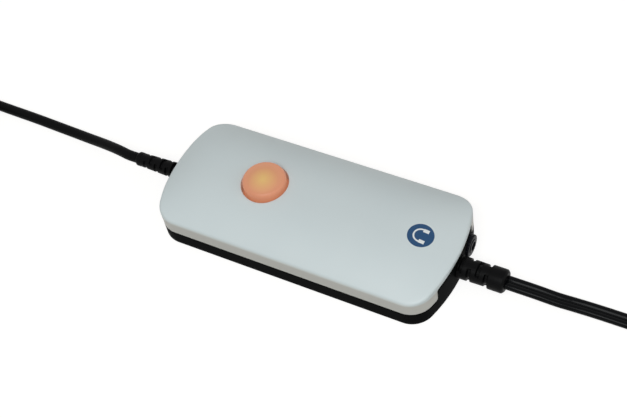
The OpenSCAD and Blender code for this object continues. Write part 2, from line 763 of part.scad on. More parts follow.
// Least distance between points of a path that lie more than half a loop apart along it
function least_apart(p) = min([for (i = [0 : len(p) - 1]) for (j = [i + loop_steps / 2 : 1 : len(p) - 1])
    norm(p[i] - p[j])]);
function path_length(p) = sum([for (k = [1 : len(p) - 1]) norm(p[k] - p[k - 1])]);
function sum(v) = v * [for (a = v) 1];

// ---- leads --------------------------------------------------------------------------------------

// The ties pass under the hanks, which raises the leads by this much
tie_t = 0.8;
tie_w = 4;
tie_r = 1.6;
tie_gap = 0.25;
hank_lift = tie_t + 0.1;

// Middle of each hank's near end, outside the view, and clear of the line of a plug in the socket
usb_pitch = usb_lead_d + loop_gap;
usb_hank_c = [-184, -12, usb_lead_d / 2 + hank_lift];
twin_pitch = twin_w + loop_gap;
twin_layer = twin_t + loop_gap;
twin_hank_c = [161, -14, twin_t / 2 + hank_lift];
usb_hank_path = hank_path(usb_hank_c, -1, usb_fold_r, usb_pitch, usb_run, usb_pitch, usb_lead_d);
twin_hank_path = hank_path(twin_hank_c, 1, twin_fold_r, twin_pitch, twin_run, twin_layer, twin_w);

usb_route = [[-84.5, 0, 8.5], [-89, 0, 8.5], [-94, 0.9, 8], [-100, 2.2, 6.6], [-107, 3.5, 4.9],
    [-114, 4.5, 3.5], [-122, 5.3, 2.6], [-132, 5.8, 2.3], [-144, 6.2, 2.3], [-157, 6.4, 2.3],
    [-165, 6.5, 2.4], [-171, 6.5, 2.8], [-176, 6.5, 3.15], [-179.5, 6.5, 3.15]];
twin_route = [[81.5, 0, 8.5], [85.5, 0, 8.5], [93, 0.4, 7.8], [101, 1.5, 5.7], [107, 2.7, 4.1],
    [113, 3.7, 2.8], [119, 4.3, 2], [126, 4.6, 1.6], [133, 4.8, 1.5], [140, 4.9, 1.6], [147, 5, 2],
    [152, 5, 2.4], [155, 5, 2.4]];
// The free ends lie inside their hanks: distance back from the far end, distance inwards and height
usb_tail = [[4.5, 0, 13.15], [8, 0, 13.15], [14, 1.8, 12.7], [20, 5.2, 11.2], [26, 8.9, 9], [32, 12, 6.6],
    [37, 13.3, 4.9], [41, 13.5, 4.2], [44, 13.5, 4.2]];
twin_tail = [[6, 0, 9.4], [9, 0, 9.4], [14, 1.6, 9.4], [19, 5, 9.3], [24, 9, 8.4], [29, 11.8, 6.6],
    [34, 12.5, 5], [37, 12.5, 4.5], [39.5, 12.5, 4.5]];
function tail_route(tail, c, side, r_in, run) =
    [for (p = tail) [c.x + side * (run - p.x), c.y - r_in + p.y, p.z]];
usb_tail_route = tail_route(usb_tail, usb_hank_c, -1, usb_fold_r, usb_run);
twin_tail_route = tail_route(twin_tail, twin_hank_c, 1, twin_fold_r, twin_run);
// Back of each plug, at the end of its lead
usb_plug_back = usb_tail_route[len(usb_tail_route) - 1];
twin_plug_back = twin_tail_route[len(twin_tail_route) - 1];

module usb_lead() {
    color(black) tube(usb_route, circle_section(usb_lead_d, 8));
}

module usb_lead_tail() {
    color(black) tube(usb_tail_route, circle_section(usb_lead_d, 8));
}

module headset_lead() {
    color(black) tube(twin_route, twin_section());
}

module headset_lead_tail() {
    color(black) tube(twin_tail_route, twin_section());
}

module usb_lead_hank() {
    echo(usb_hank_least_gap = least_apart(usb_hank_path) - usb_lead_d);
    echo(usb_hank_length = path_length(usb_hank_path));
    color(black) tube(usb_hank_path, circle_section(usb_lead_d, 6));
}

module headset_lead_hank() {
    // The flat lead's height is drawn out to its width, so that one distance tests both directions
    drawn_out = [for (p = twin_hank_path) [p.x, p.y, p.z * twin_w / twin_t]];
    echo(headset_hank_least_gap = least_apart(drawn_out) - twin_w);
    echo(headset_hank_length = path_length(twin_hank_path));
    color(black) tube(twin_hank_path, twin_hank_section());
}

module rounded_rect(w, h, r, z) {
    translate([r - w / 2, z]) square([w - 2 * r, h]);
    translate([-w / 2, z + r]) square([w, h - 2 * r]);
    for (sx = [-1, 1]) for (sy = [0, 1])
        translate([sx * (w / 2 - r), z + r + sy * (h - 2 * r)]) circle(r = r, $fn = 24);
}

// Strap round the middle of a hank whose lead is lead_w wide and whose top lies at height top
module hank_tie(c, side, r_out, run, lead_w, top) {
    w = 2 * r_out + lead_w + 2 * tie_gap;
    h = top + tie_gap - tie_t;
    translate([c.x + side * run / 2 - tie_w / 2, c.y, tie_t]) rotate([90, 0, 90])
        linear_extrude(tie_w) difference() {
            rounded_rect(w + 2 * tie_t, h + 2 * tie_t, tie_r + tie_t, -tie_t);
            rounded_rect(w, h, tie_r, 0);
        }
}

top_layer = layer(hank_stretches);

module usb_hank_tie() {
    color(black) hank_tie(usb_hank_c, -1, usb_fold_r + usb_pitch, usb_run, usb_lead_d,
        usb_hank_c.z + top_layer * usb_pitch + usb_lead_d / 2);
}

module headset_hank_tie() {
    color(black) hank_tie(twin_hank_c, 1, twin_fold_r + twin_pitch, twin_run, twin_w,
        twin_hank_c.z + top_layer * twin_layer + twin_t / 2);
}

// ---- wires inside -------------------------------------------------------------------------------

// Wires run from the inner face of a relief to the outer face of its header
wire_from = relief_in_x - relief_flange_t;
wire_straight = 1.5;
wire_hump = 0.6;

// Route of the wire that is s pitches away from the middle one
function wire_route(s) = let (y0 = s * wire_pitch, y1 = header_y + s * header_pitch) [
    [wire_from, y0, lead_z], [wire_from - wire_straight, y0, lead_z],
    [(wire_from + header_out_x) / 2, (y0 + y1) / 2, lead_z + wire_hump],
    [header_out_x + wire_straight, y1, lead_z], [header_out_x, y1, lead_z]];

module wire_set() {
    for (k = [0 : header_wires - 1])
        tube(wire_route(k - (header_wires - 1) / 2), circle_section(wire_d, 8));
}

module usb_wires() {
    color("firebrick") mirror([1, 0, 0]) wire_set();
}

module headset_wires() {
    color("steelblue") wire_set();
}

socket_wire_d = 0.9;
socket_wire_straight = 0.8;
socket_on_board = 3;

// From a tab of the socket down to the top of the board, where the wire is soldered on
function socket_wire_route(y) = let (x = board_half - socket_on_board, z = board_top + socket_wire_d / 2) [
    [tab_end_x, y, socket_z], [tab_end_x - socket_wire_straight, y, socket_z],
    [x + socket_wire_straight, y, z], [x, y, z]];

module socket_wires() {
    color("goldenrod") for (k = [-1 : 1])
        tube(socket_wire_route(socket_y + k * tab_pitch), circle_section(socket_wire_d, 8));
}

// ---- plugs --------------------------------------------------------------------------------------

usb_grip_l = 25;
usb_grip_w = 15.6;
usb_grip_h = 8;
usb_shell_l = 12;
usb_shell_w = 12;
usb_shell_h = 4.5;
sheet_t = 0.3;

module usb_plug_grip() {
    r = 2;
    neck_l = 6;
    color(black) translate(usb_plug_back) {
        translate([neck_l - eps, 0, 0]) rotate([90, 0, 90]) linear_extrude(usb_grip_l - neck_l + eps)
            rounded_rect(usb_grip_w, usb_grip_h, r, -usb_grip_h / 2);
        rotate([0, 90, 0]) cylinder(d1 = usb_lead_d + 1.4, d2 = usb_grip_h - 0.6, h = neck_l, $fn = 40);
    }
}

module usb_plug_shell() {
    hole = 2.2;
    color(metal) translate(usb_plug_back + [usb_grip_l, 0, 0]) difference() {
        translate([0, -usb_shell_w / 2, -usb_shell_h / 2]) cube([usb_shell_l, usb_shell_w, usb_shell_h]);
        translate([sheet_t, sheet_t - usb_shell_w / 2, sheet_t - usb_shell_h / 2])
            cube([usb_shell_l, usb_shell_w - 2 * sheet_t, usb_shell_h - 2 * sheet_t]);
        for (s = [-1, 1]) translate([5.4, s * 2.6 - hole / 2, 0]) cube([hole, hole, usb_shell_h]);
    }
}

insert_h = 1.9;
contact_t = 0.15;

module usb_plug_insert() {
    color(clear) translate(usb_plug_back + [usb_grip_l + sheet_t, 0, 0])
        translate([0, sheet_t - usb_shell_w / 2, sheet_t - usb_shell_h / 2])
            cube([usb_shell_l - sheet_t - 0.6, usb_shell_w - 2 * sheet_t, insert_h]);
}

module usb_plug_contacts() {
    z = sheet_t - usb_shell_h / 2 + insert_h;
    color(gold) for (y = [-3.5, -1, 1, 3.5])
        translate(usb_plug_back + [usb_grip_l + sheet_t + 1, y - 0.5, z])
            cube([usb_shell_l - 3.4, 1, contact_t]);
}

twin_grip_l = 24;
twin_grip_d = 8.8;
pin_d = 3.5;
pin_l = 14;
groove_d = 2.9;
ring_l = 0.8;

// The headset plug points towards -X; both pieces are drawn along +Z and laid down
module lay_plug() {
    translate(twin_plug_back) rotate([0, -90, 0]) children();
}

module headset_plug_grip() {
    color(black) lay_plug() {
        cylinder(d1 = twin_w + 1, d2 = twin_grip_d, h = 7, $fn = 48);
        translate([0, 0, 7 - eps]) cylinder(d = twin_grip_d, h = twin_grip_l - 8 + eps, $fn = 48);
        translate([0, 0, twin_grip_l - 1 - eps])
            cylinder(d1 = twin_grip_d, d2 = twin_grip_d - 1.6, h = 1 + eps, $fn = 48);
    }
}

// Pin with two grooves for the insulating rings and a waisted tip
module headset_plug_pin() {
    r = pin_d / 2;
    z = [for (k = [0 : 1]) ring_from(k)];
    color(metal) lay_plug() translate([0, 0, twin_grip_l]) rotate_extrude($fn = 48) polygon([
        [0, 0], [r, 0], [r, z[0]], [groove_d / 2, z[0]], [groove_d / 2, z[0] + ring_l], [r, z[0] + ring_l],
        [r, z[1]], [groove_d / 2, z[1]], [groove_d / 2, z[1] + ring_l], [r, z[1] + ring_l],
        [r * 0.72, pin_l - 2.6], [r, pin_l - 1.7], [r * 0.3, pin_l], [0, pin_l]]);
}

function ring_from(k) = 6.4 + k * 2.6;

module headset_plug_rings() {
    color(black) lay_plug() for (k = [0 : 1]) translate([0, 0, twin_grip_l + ring_from(k)]) difference() {
        cylinder(d = pin_d, h = ring_l, $fn = 48);
        translate([0, 0, -1]) cylinder(d = groove_d, h = ring_l + 2, $fn = 48);
    }
}

top_shell();
bottom_shell();
response_button();
button_spring();
switch_body();
switch_plunger();
button_led();
main_circuit_board();
controller_chip();
audio_codec_chip();
headphone_amplifier_chip();
isolator_chip();
isolated_power_module();
memory_chip();
crystal();
capacitors();
usb_wire_header();
headset_wire_header();
usb_wires();
headset_wires();
socket_body();
socket_nut();
socket_wires();
case_screws();
board_screws();
usb_strain_relief();
headset_strain_relief();
usb_lead();
usb_lead_hank();
usb_lead_tail();
usb_hank_tie();
usb_plug_grip();
usb_plug_shell();
usb_plug_insert();
usb_plug_contacts();
headset_lead();
headset_lead_hank();
headset_lead_tail();
headset_hank_tie();
headset_plug_grip();
headset_plug_pin();
headset_plug_rings();
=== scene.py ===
"""In-line audiometer: the looks of its casing, lit button, leads and plugs."""

import math
from functools import partialmethod

import bpy
import numpy as np
from mathutils import Matrix, Vector


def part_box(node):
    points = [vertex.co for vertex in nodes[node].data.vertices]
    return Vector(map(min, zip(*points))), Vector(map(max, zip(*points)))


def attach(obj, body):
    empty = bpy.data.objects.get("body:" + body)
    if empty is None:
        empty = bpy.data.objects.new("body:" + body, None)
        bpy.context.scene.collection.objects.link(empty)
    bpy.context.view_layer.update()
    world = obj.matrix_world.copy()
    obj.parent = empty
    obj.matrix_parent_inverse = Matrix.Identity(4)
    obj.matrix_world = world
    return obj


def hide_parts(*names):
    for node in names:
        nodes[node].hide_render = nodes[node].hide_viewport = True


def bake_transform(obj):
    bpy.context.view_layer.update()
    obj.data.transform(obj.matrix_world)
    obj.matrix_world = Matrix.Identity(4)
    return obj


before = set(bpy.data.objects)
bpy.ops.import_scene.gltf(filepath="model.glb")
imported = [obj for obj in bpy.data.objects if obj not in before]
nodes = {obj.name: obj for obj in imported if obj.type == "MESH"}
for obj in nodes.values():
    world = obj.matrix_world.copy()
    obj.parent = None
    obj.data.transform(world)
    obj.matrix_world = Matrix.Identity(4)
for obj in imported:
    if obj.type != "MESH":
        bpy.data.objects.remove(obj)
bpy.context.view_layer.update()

# Lengths below are in millimetres, and meshes are made in metres
MM = 0.001

# ---- sizes of the casing ----
# X runs along the casing, Y across it, and heights are over the floor

HALF_LEN = 62.5
HALF_W = 27.25
END_R = 70.0
CORNER_R = 9.8
SPLIT_Z = 7.9
SKIRT_TOP = 13.3
EDGE_R = 0.95
TOP_EDGE_Z = SKIRT_TOP + EDGE_R
CROWN_MID = 7.8
CROWN_END = 2.5
CROWN_POWER = 2.5
END_POWER = 6
WALL = 2.0
BASE_R = 1.5
TONGUE_H = 1.5
SHELL_GAP = 0.15
SPLIT_ROUND = 0.15
PANEL_W = 32.6
NOTCH_W = PANEL_W + 2 * SHELL_GAP
LIP_T = 1.7
ARCH_R = (HALF_W ** 2 + CROWN_END ** 2) / (2 * CROWN_END)
ARCH_TOP = TOP_EDGE_Z + CROWN_END - LIP_T
LEAD_Z = 8.5
BUTTON_X = -20.5
CAP_R = 8.8
HOLE_R = CAP_R + 0.85
HOLE_ROUND = 0.35
CAP_PROUD = 2.8
CROWN_AT_CAP = CROWN_MID * (1 - (1 - CROWN_END / CROWN_MID) * (BUTTON_X / HALF_LEN) ** END_POWER)
RIM_Z = TOP_EDGE_Z + CROWN_AT_CAP + CAP_PROUD
RIM_ROUND = 1.6
CAP_DOME = 1.2
CAP_WALL = 1.4
STEM_R = 5.2
STEM_Z = 13.9
FLANGE_Z = STEM_Z + 1
FLANGE_T = 1.0
FLANGE_R = HOLE_R + 0.8
GUIDE_Z = FLANGE_Z + FLANGE_T + 0.2
GUIDE_R = HOLE_R + 1.6
BOSS_R = 3.1
SCREW_X = HALF_LEN - 9.5
SCREW_Y = HALF_W - 6.95
SCREW_D = 2.4
SCREW_CLEAR_R = 1.4
SCREW_HEAD_R = 2.5
SCREW_HEAD_Z = 2.2
BOARD_SCREW_X = 41.57
BOARD_SCREW_Y = 18.0
SOCKET_Y = 10.9
SOCKET_Z = 7.8
SOCKET_BORE_R = 1.8
SOCKET_DEPTH = 12.4
SOCKET_BARREL_R = 3.0
PANEL_HOLE_R = 3.1
NUT_R = 4.5
SPOT_R = NUT_R + 0.5
SEAT_X = HALF_LEN - END_R + math.sqrt(END_R ** 2 - (SOCKET_Y + SPOT_R) ** 2) - 0.1
PAD_X = SEAT_X - WALL
SOCKET_MOUTH_X = SEAT_X + 2.9
NUT_BORE_R = 3.05
NUT_T = 2.6

# ---- camera, where the photograph was taken from ----

PHOTO_W = 627
AZIMUTH, ELEVATION, ROLL = (math.radians(a) for a in (37.0, 53.07, -12.58))
CAMERA_DISTANCE = 513.8
AIM_RIGHT = 1.70
AIM_UP = -8.40
FOCAL_PIXELS = 1270.6
SENSOR_W = 36.0


def make_camera():
    level = Vector((math.cos(AZIMUTH), math.sin(AZIMUTH), 0))
    ahead = Vector((-math.sin(AZIMUTH), math.cos(AZIMUTH), 0))
    back = Vector((0, 0, math.sin(ELEVATION))) - math.cos(ELEVATION) * ahead
    rise = back.cross(level)
    right = math.cos(ROLL) * level + math.sin(ROLL) * rise
    up = math.cos(ROLL) * rise - math.sin(ROLL) * level
    place = (back * CAMERA_DISTANCE - right * AIM_RIGHT - up * AIM_UP) * MM
    data = bpy.data.cameras.new("camera")
    data.sensor_fit = "HORIZONTAL"
    data.sensor_width = SENSOR_W
    data.lens = FOCAL_PIXELS / PHOTO_W * SENSOR_W
    data.clip_start = 0.01
    camera = bpy.data.objects.new("camera", data)
    camera.matrix_world = Matrix.Translation(place) @ Matrix((right, up, back)).transposed().to_4x4()
    bpy.context.scene.collection.objects.link(camera)
    bpy.context.scene.camera = camera


make_camera()

# ---- node trees ----


class Value:
    """A number in a node tree; arithmetic on it adds Math nodes."""

    def __init__(self, tree, socket):
        self.tree = tree
        self.socket = socket

    def math(self, operation, *others):
        made = self.tree.node("ShaderNodeMath", dict(enumerate((self, *others))), operation=operation)
        return made["Value"]

    __add__ = partialmethod(math, "ADD")
    __sub__ = partialmethod(math, "SUBTRACT")
    __mul__ = partialmethod(math, "MULTIPLY")
    __truediv__ = partialmethod(math, "DIVIDE")
    __pow__ = partialmethod(math, "POWER")
    __abs__ = partialmethod(math, "ABSOLUTE")
    least = partialmethod(math, "MINIMUM")
    most = partialmethod(math, "MAXIMUM")
    root = partialmethod(math, "SQRT")
    # Distance past the last whole pitch
    repeat = partialmethod(math, "FLOORED_MODULO")

    def __rsub__(self, other):
        return self * -1 + other

    def below(self, limit, soft):
        """1 under the limit and 0 over it, with an edge that is soft across that width."""
        return self.ramp(limit + soft / 2, limit - soft / 2)

    def ramp(self, zero_at, one_at):
        """0 at one limit and 1 at the other, with a smooth rise between them."""
        limits = {"Value": self, "From Min": zero_at, "From Max": one_at}
        return self.tree.node("ShaderNodeMapRange", limits, interpolation_type="SMOOTHSTEP")["Result"]


def distance(across, up):
    """Length of the line to a point from its two coordinates."""
    return (across * across + up * up).root()


class Made:
    """A node that has been made; its outputs are read by name."""

    def __init__(self, tree, raw):
        self.tree = tree
        self.raw = raw

    def __getitem__(self, name):
        return Value(self.tree, find_socket(self.raw.outputs, name))


def find_socket(sockets, name):
    if isinstance(name, int):
        return sockets[name]
    for s in sockets:
        if s.identifier == name:
            return s
    return next(s for s in sockets if s.name == name and s.enabled)


class Tree:
    """A node tree and the one method that adds nodes to it."""

    def __init__(self, raw):
        self.raw = raw
        raw.nodes.clear()

    def node(self, kind, inputs=None, **settings):
        """A new node; its inputs are linked where they are Values, and set where they are not."""
        made = self.raw.nodes.new(kind)
        for name, value in settings.items():
            setattr(made, name, value)
        for name, value in (inputs or {}).items():
            socket = find_socket(made.inputs, name)
            if isinstance(value, Value):
                self.raw.links.new(value.socket, socket)
            else:
                socket.default_value = value
        return Made(self, made)


class GeometryTree(Tree):
    """A tree that reshapes the mesh it is given; its sizes are numbers that are read by name."""

    def __init__(self, name, *sizes):
        raw = bpy.data.node_groups.new(name, "GeometryNodeTree")
        super().__init__(raw)
        for end in ("INPUT", "OUTPUT"):
            raw.interface.new_socket("Geometry", in_out=end, socket_type="NodeSocketGeometry")
        for size in sizes:
            raw.interface.new_socket(size, in_out="INPUT", socket_type="NodeSocketFloat")
        self.given = self.node("NodeGroupInput")

    def __getitem__(self, name):
        return self.given[name]

    def points(self):
        """The coordinates of each point, by axis."""
        position = self.node("GeometryNodeInputPosition")["Position"]
        return self.node("ShaderNodeSeparateXYZ", {"Vector": position})

    def moved(self, **offset):
        """The geometry with its points moved by an offset that is given by axis."""
        made = self.node("GeometryNodeSetPosition", {
            "Geometry": self["Geometry"], "Offset": self.node("ShaderNodeCombineXYZ", offset)["Vector"]})
        return made["Geometry"]

    def out(self, geometry, material):
        """The tree, ended with its instances made real and its material set."""
        real = self.node("GeometryNodeRealizeInstances", {"Geometry": geometry})
        dressed = self.node("GeometryNodeSetMaterial", {"Geometry": real["Geometry"], "Material": material})
        self.node("NodeGroupOutput", {"Geometry": dressed["Geometry"]})
        return self.raw


# ---- meshes ----

SMOOTH_ANGLE = math.radians(38)


def mesh_piece(name, points, faces, material=None, crown=None):
    """Mesh object from points in millimetres, with the crown weights of its points if it has any."""
    mesh = bpy.data.meshes.new(name)
    mesh.from_pydata((np.asarray(points, float) * MM).tolist(), [], [list(map(int, f)) for f in faces])
    if crown is not None:
        weights = mesh.attributes.new("crown", "FLOAT", "POINT")
        weights.data.foreach_set("value", np.asarray(crown, np.float32))
    piece = bpy.data.objects.new(name, mesh)
    bpy.context.scene.collection.objects.link(piece)
    if material:
        mesh.materials.append(material)
    soften(mesh)
    return piece


def soften(mesh):
    """Smooth shading, except across edges sharper than the smooth angle."""
    mesh.validate()
    mesh.polygons.foreach_set("use_smooth", [True] * len(mesh.polygons))
    mesh.set_sharp_from_angle(angle=SMOOTH_ANGLE)


def settled(piece):
    """The piece with its modifiers worked into its mesh."""
    bpy.context.view_layer.update()
    result = bpy.data.meshes.new_from_object(piece.evaluated_get(bpy.context.evaluated_depsgraph_get()))
    piece.modifiers.clear()
    piece.data = result
    result.name = piece.name
    soften(result)
    return piece


def grown(piece, tree, sizes):
    """The piece after a geometry tree with these input values."""
    modifier = piece.modifiers.new("shape", "NODES")
    modifier.node_group = tree
    for item in tree.interface.items_tree:
        if item.in_out == "INPUT" and item.name in sizes:
            modifier[item.identifier] = sizes[item.name]
    return settled(piece)


def join_meshes(parts):
    """(points, faces) of several meshes as one."""
    faces, first = [], 0
    for points, own_faces in parts:
        faces += [[first + k for k in face] for face in own_faces]
        first += len(points)
    return np.concatenate([points for points, _ in parts]), faces


def grid_faces(rows, columns, wrap_rows=False):
    """Quads between rows of points; each row closes on itself."""
    faces = []
    for r in range(rows if wrap_rows else rows - 1):
        a, b = r * columns, (r + 1) % rows * columns
        faces += [(a + k, a + (k + 1) % columns, b + (k + 1) % columns, b + k) for k in range(columns)]
    return faces


def closed_faces(rows, columns):
    """The quads, and a face over the first row and over the last."""
    last = (rows - 1) * columns
    return grid_faces(rows, columns) + [tuple(reversed(range(columns))), tuple(range(last, last + columns))]


def flipped(faces):
    """The faces, looking the other way."""
    return [tuple(reversed(f)) for f in faces]


def mirrored(points, faces):
    """The mesh at the other end of the casing."""
    return points * (-1, 1, 1), flipped(faces)


def turned(profile, steps=64, flutes=None):
    """Mesh turned about Z from (radius, height) pairs, which make a ring unless they start on the axis."""
    angles = np.arange(steps) * 2 * math.pi / steps
    inner = [p for p in profile if p[0] > 0]
    rings = []
    for r, z in inner:
        reach = r if flutes is None else flutes(r, z, angles)
        rings.append(np.stack([reach * np.cos(angles), reach * np.sin(angles), np.full(steps, z)], 1))
    points = list(np.concatenate(rings))
    if len(inner) == len(profile):
        return np.array(points), grid_faces(len(inner), steps, wrap_rows=True)
    faces = grid_faces(len(inner), steps)
    last = (len(inner) - 1) * steps
    points += [(0, 0, profile[0][1]), (0, 0, profile[-1][1])]
    n = len(points)
    faces += [(n - 2, (k + 1) % steps, k) for k in range(steps)]
    faces += [(n - 1, last + k, last + (k + 1) % steps) for k in range(steps)]
    return np.array(points), faces


ROUNDING_STEPS = 4


def rounded(profile, radius):
    """The profile with its corners rounded; the first and last points stay."""
    result = [profile[0]]
    for before, corner, after in zip(profile, profile[1:], profile[2:]):
        a, c, b = (np.array(p, float) for p in (before, corner, after))
        r = min(radius, np.linalg.norm(a - c) * 0.45, np.linalg.norm(b - c) * 0.45)
        p, q = c + (a - c) / np.linalg.norm(a - c) * r, c + (b - c) / np.linalg.norm(b - c) * r
        for t in np.linspace(0, 1, ROUNDING_STEPS + 1):
            result.append(tuple((1 - t) ** 2 * p + 2 * t * (1 - t) * c + t ** 2 * q))
    return result + [profile[-1]]


def sweep(path, section):
    """Tube with a flat section along a path; the section's first axis stays level."""
    path = np.asarray(path, float)
    ahead = np.gradient(path, axis=0)
    ahead[0], ahead[-1] = path[1] - path[0], path[-1] - path[-2]
    ahead /= np.linalg.norm(ahead, axis=1)[:, None]
    level = np.cross((0, 0, 1), ahead)
    level /= np.linalg.norm(level, axis=1)[:, None]
    rise = np.cross(ahead, level)
    section = np.asarray(section, float)
    rings = path[:, None] + level[:, None] * section[None, :, :1] + rise[:, None] * section[None, :, 1:]
    return rings.reshape(-1, 3), flipped(closed_faces(len(path), len(section)))


def round_section(r, sides):
    angles = np.arange(sides) * 2 * math.pi / sides
    return np.stack([r * np.cos(angles), r * np.sin(angles)], 1)


PATH_STEP = 1.2


def smooth_path(points):
    """Points on a smooth curve through the given ones."""
    p = np.asarray(points, float)
    p = np.concatenate([[2 * p[0] - p[1]], p, [2 * p[-1] - p[-2]]])
    result = []
    for a, b, c, d in zip(p, p[1:], p[2:], p[3:]):
        count = max(2, int(np.linalg.norm(c - b) / PATH_STEP))
        for t in np.arange(count) / count:
            result.append(0.5 * (2 * b + (c - a) * t + (2 * a - 5 * b + 4 * c - d) * t ** 2
                                 + (3 * b - a - 3 * c + d) * t ** 3))
    return np.array(result + [p[-2]])


# ---- surfaces ----


def rgb(*shown):
    """Colour for a shader from what a screen shows, 0 to 255."""
    return tuple(c / 255 / 12.92 if c < 10.3 else ((c / 255 + 0.055) / 1.055) ** 2.4 for c in shown)


class ShaderTree(Tree):
    """The node tree of a material or of the world."""

    def mixed(self, share, first, second):
        """first where share is 0 and second where it is 1; each a colour or a socket."""
        first, second = (c if isinstance(c, Value) else (*c, 1) for c in (first, second))
        return self.node("ShaderNodeMix", {"Factor_Float": share, "A_Color": first, "B_Color": second},
                         data_type="RGBA")["Result_Color"]

    def in_sight(self):
        """1 for what the camera sees, straight or in a gloss or through glass, and 0 for soft light."""
        rays = self.node("ShaderNodeLightPath")
        return rays["Is Camera Ray"].most(rays["Is Glossy Ray"]).most(rays["Is Transmission Ray"])


class Surface(ShaderTree):
    """A material in Object coordinates, in millimetres."""

    def __init__(self, name):
        self.material = bpy.data.materials.new(name)
        self.material.use_nodes = True
        super().__init__(self.material.node_tree)
        self.place = self.node("ShaderNodeTexCoord")["Object"]
        apart = self.node("ShaderNodeSeparateXYZ", {"Vector": self.place})
        self.x, self.y, self.z = apart["X"] / MM, apart["Y"] / MM, apart["Z"] / MM

    def noise(self, per_mm, detail=2.0):
        return self.node("ShaderNodeTexNoise", {
            "Vector": self.place, "Scale": per_mm / MM, "Detail": detail})["Fac"]

    def bump(self, height, depth_mm):
        return self.node("ShaderNodeBump", {"Distance": depth_mm * MM, "Height": height})["Normal"]

    def gradient(self, value, stops):
        """The colour at a value from 0 to 1, between stops that are (value, colour)."""
        made = self.node("ShaderNodeValToRGB", {"Fac": value})
        elements = made.raw.color_ramp.elements
        for k, (place, colour) in enumerate(stops):
            stop = elements[k] if k < len(elements) else elements.new(place)
            stop.position = place
            stop.color = (*colour, 1)
        return made["Color"]

    def done(self, **inputs):
        """The material with a Principled shader that has these inputs, their names with _ for a space."""
        shader = self.node("ShaderNodeBsdfPrincipled", {
            name.replace("_", " "): (*value, 1) if isinstance(value, tuple) else value
            for name, value in inputs.items()})
        self.node("ShaderNodeOutputMaterial", {"Surface": shader["BSDF"]})
        return self.material


def darker(colour, share):
    return tuple(c * share for c in colour)


GRAIN_PER_MM = 4.0
GRAIN_DEPTH = 0.012
PATCHES_PER_MM = 0.05


def moulded(name, colour, roughness, **more):
    """Plastic or rubber with a fine moulded grain and slightly uneven colour."""
    surface = Surface(name)
    grain = surface.noise(GRAIN_PER_MM, 3.0)
    patches = surface.noise(PATCHES_PER_MM)
    return surface.done(
        Base_Color=surface.mixed(patches, darker(colour, 0.85), colour),
        Roughness=(grain - 0.5) * 0.12 + roughness, Normal=surface.bump(grain, GRAIN_DEPTH), **more)


def metal(name, colour, roughness):
    surface = Surface(name)
    scuffs = surface.noise(0.8, 4.0)
    return surface.done(Base_Color=surface.mixed(scuffs, darker(colour, 0.88), colour),
                        Roughness=scuffs * 0.15 + roughness, Metallic=1.0)


SIGN_X = 47.0
SIGN_R = 5.2
BAND_R = 2.75
BAND_HALF_W = 0.32
BAND_END_X = 0.6
CUP_MIDDLE = (1.3, 2.5)
CUP_HALF = (1.15, 0.75)
PRINT_EDGE = 0.14


def headphones(x, y):
    """1 inside a headphones sign of about 7 mm, its band towards -X; x and y are from the sign's middle."""
    band = abs(distance(x, y) - BAND_R).below(BAND_HALF_W, PRINT_EDGE) * x.below(BAND_END_X, PRINT_EDGE)
    cup_x, cup_y = abs(x - CUP_MIDDLE[0]), abs(abs(y) - CUP_MIDDLE[1])
    return band.most(cup_y.below(CUP_HALF[1], PRINT_EDGE) * cup_x.below(CUP_HALF[0], PRINT_EDGE))


def white_shell():
    """White, with painted shade that makes the skirt warmer and darker, and the sign printed on its top."""
    surface = Surface("white_shell")
    x, y, z = surface.x - SIGN_X, surface.y, surface.z
    on_top = z.ramp(TOP_EDGE_Z + 0.5, TOP_EDGE_Z + 0.7)
    disc = distance(x, y).below(SIGN_R, PRINT_EDGE) * on_top
    sign = headphones(x, y) * on_top
    grain = surface.noise(4.5, 3.0)
    cloud = surface.noise(0.04)
    above = surface.mixed(cloud, rgb(209, 220, 224), rgb(215, 225, 228))
    # Painted shade: below the top edge the white turns darker and warmer, standing in for the shade on the
    # upright skirt.
    top_and_shaded_skirt = surface.mixed(z.ramp(SKIRT_TOP - 0.4, TOP_EDGE_Z + 0.4), rgb(199, 199, 194), above)
    printed = surface.mixed(disc, top_and_shaded_skirt, rgb(0, 66, 112))
    return surface.done(
        Base_Color=surface.mixed(sign, printed, rgb(232, 236, 238)),
        Roughness=(grain - 0.5) * 0.1 + 0.42 - disc * 0.1, Normal=surface.bump(grain, 0.006))


# Where the lamp shows brightest through the cap, from the cap's middle
GLOW_X = 0.7
GLOW_Y = -1.7


def orange_cap():
    """Orange that is lit from within, brightest over the lamp and redder towards the rim, with painted
    light that brightens the glow again at the rim.
    """
    surface = Surface("orange_cap")
    x, y = surface.x - BUTTON_X, surface.y
    skin = surface.gradient(distance(x, y) / CAP_R, [
        (0.0, rgb(188, 150, 102)), (0.8, rgb(186, 134, 106)), (1.0, rgb(180, 122, 96))])
    # Painted light: the glow rises from 0.7 out to the rim to lift the rim's wall out of its shade; inside
    # that it is the lamp shining through.
    backlight_and_painted_rim_light = surface.gradient(distance(x - GLOW_X, y - GLOW_Y) / CAP_R, [
        (0.0, rgb(196, 172, 94)), (0.3, rgb(190, 150, 90)), (0.7, rgb(184, 116, 84)),
        (1.0, rgb(196, 128, 96))])
    return surface.done(Base_Color=skin, Roughness=0.38, Emission_Color=backlight_and_painted_rim_light, Emission_Strength=0.5,
                        Specular_IOR_Level=0.3)


def socket_black():
    """Black plastic with brassy springs deep in the bore."""
    surface = Surface("socket_plastic")
    y, z = surface.y - SOCKET_Y, surface.z - SOCKET_Z
    in_bore = distance(y, z).below(SOCKET_BORE_R + 0.12, 0.05)
    deep = surface.x.ramp(SOCKET_MOUTH_X - 0.9, SOCKET_MOUTH_X - 1.3) * in_bore
    grain = surface.noise(GRAIN_PER_MM)
    return surface.done(
        Base_Color=surface.mixed(deep, rgb(12, 14, 20), rgb(196, 160, 96)), Metallic=deep,
        Roughness=grain * 0.1 + 0.3 - deep * 0.1, Normal=surface.bump(grain, 0.004),
        Specular_IOR_Level=0.08)


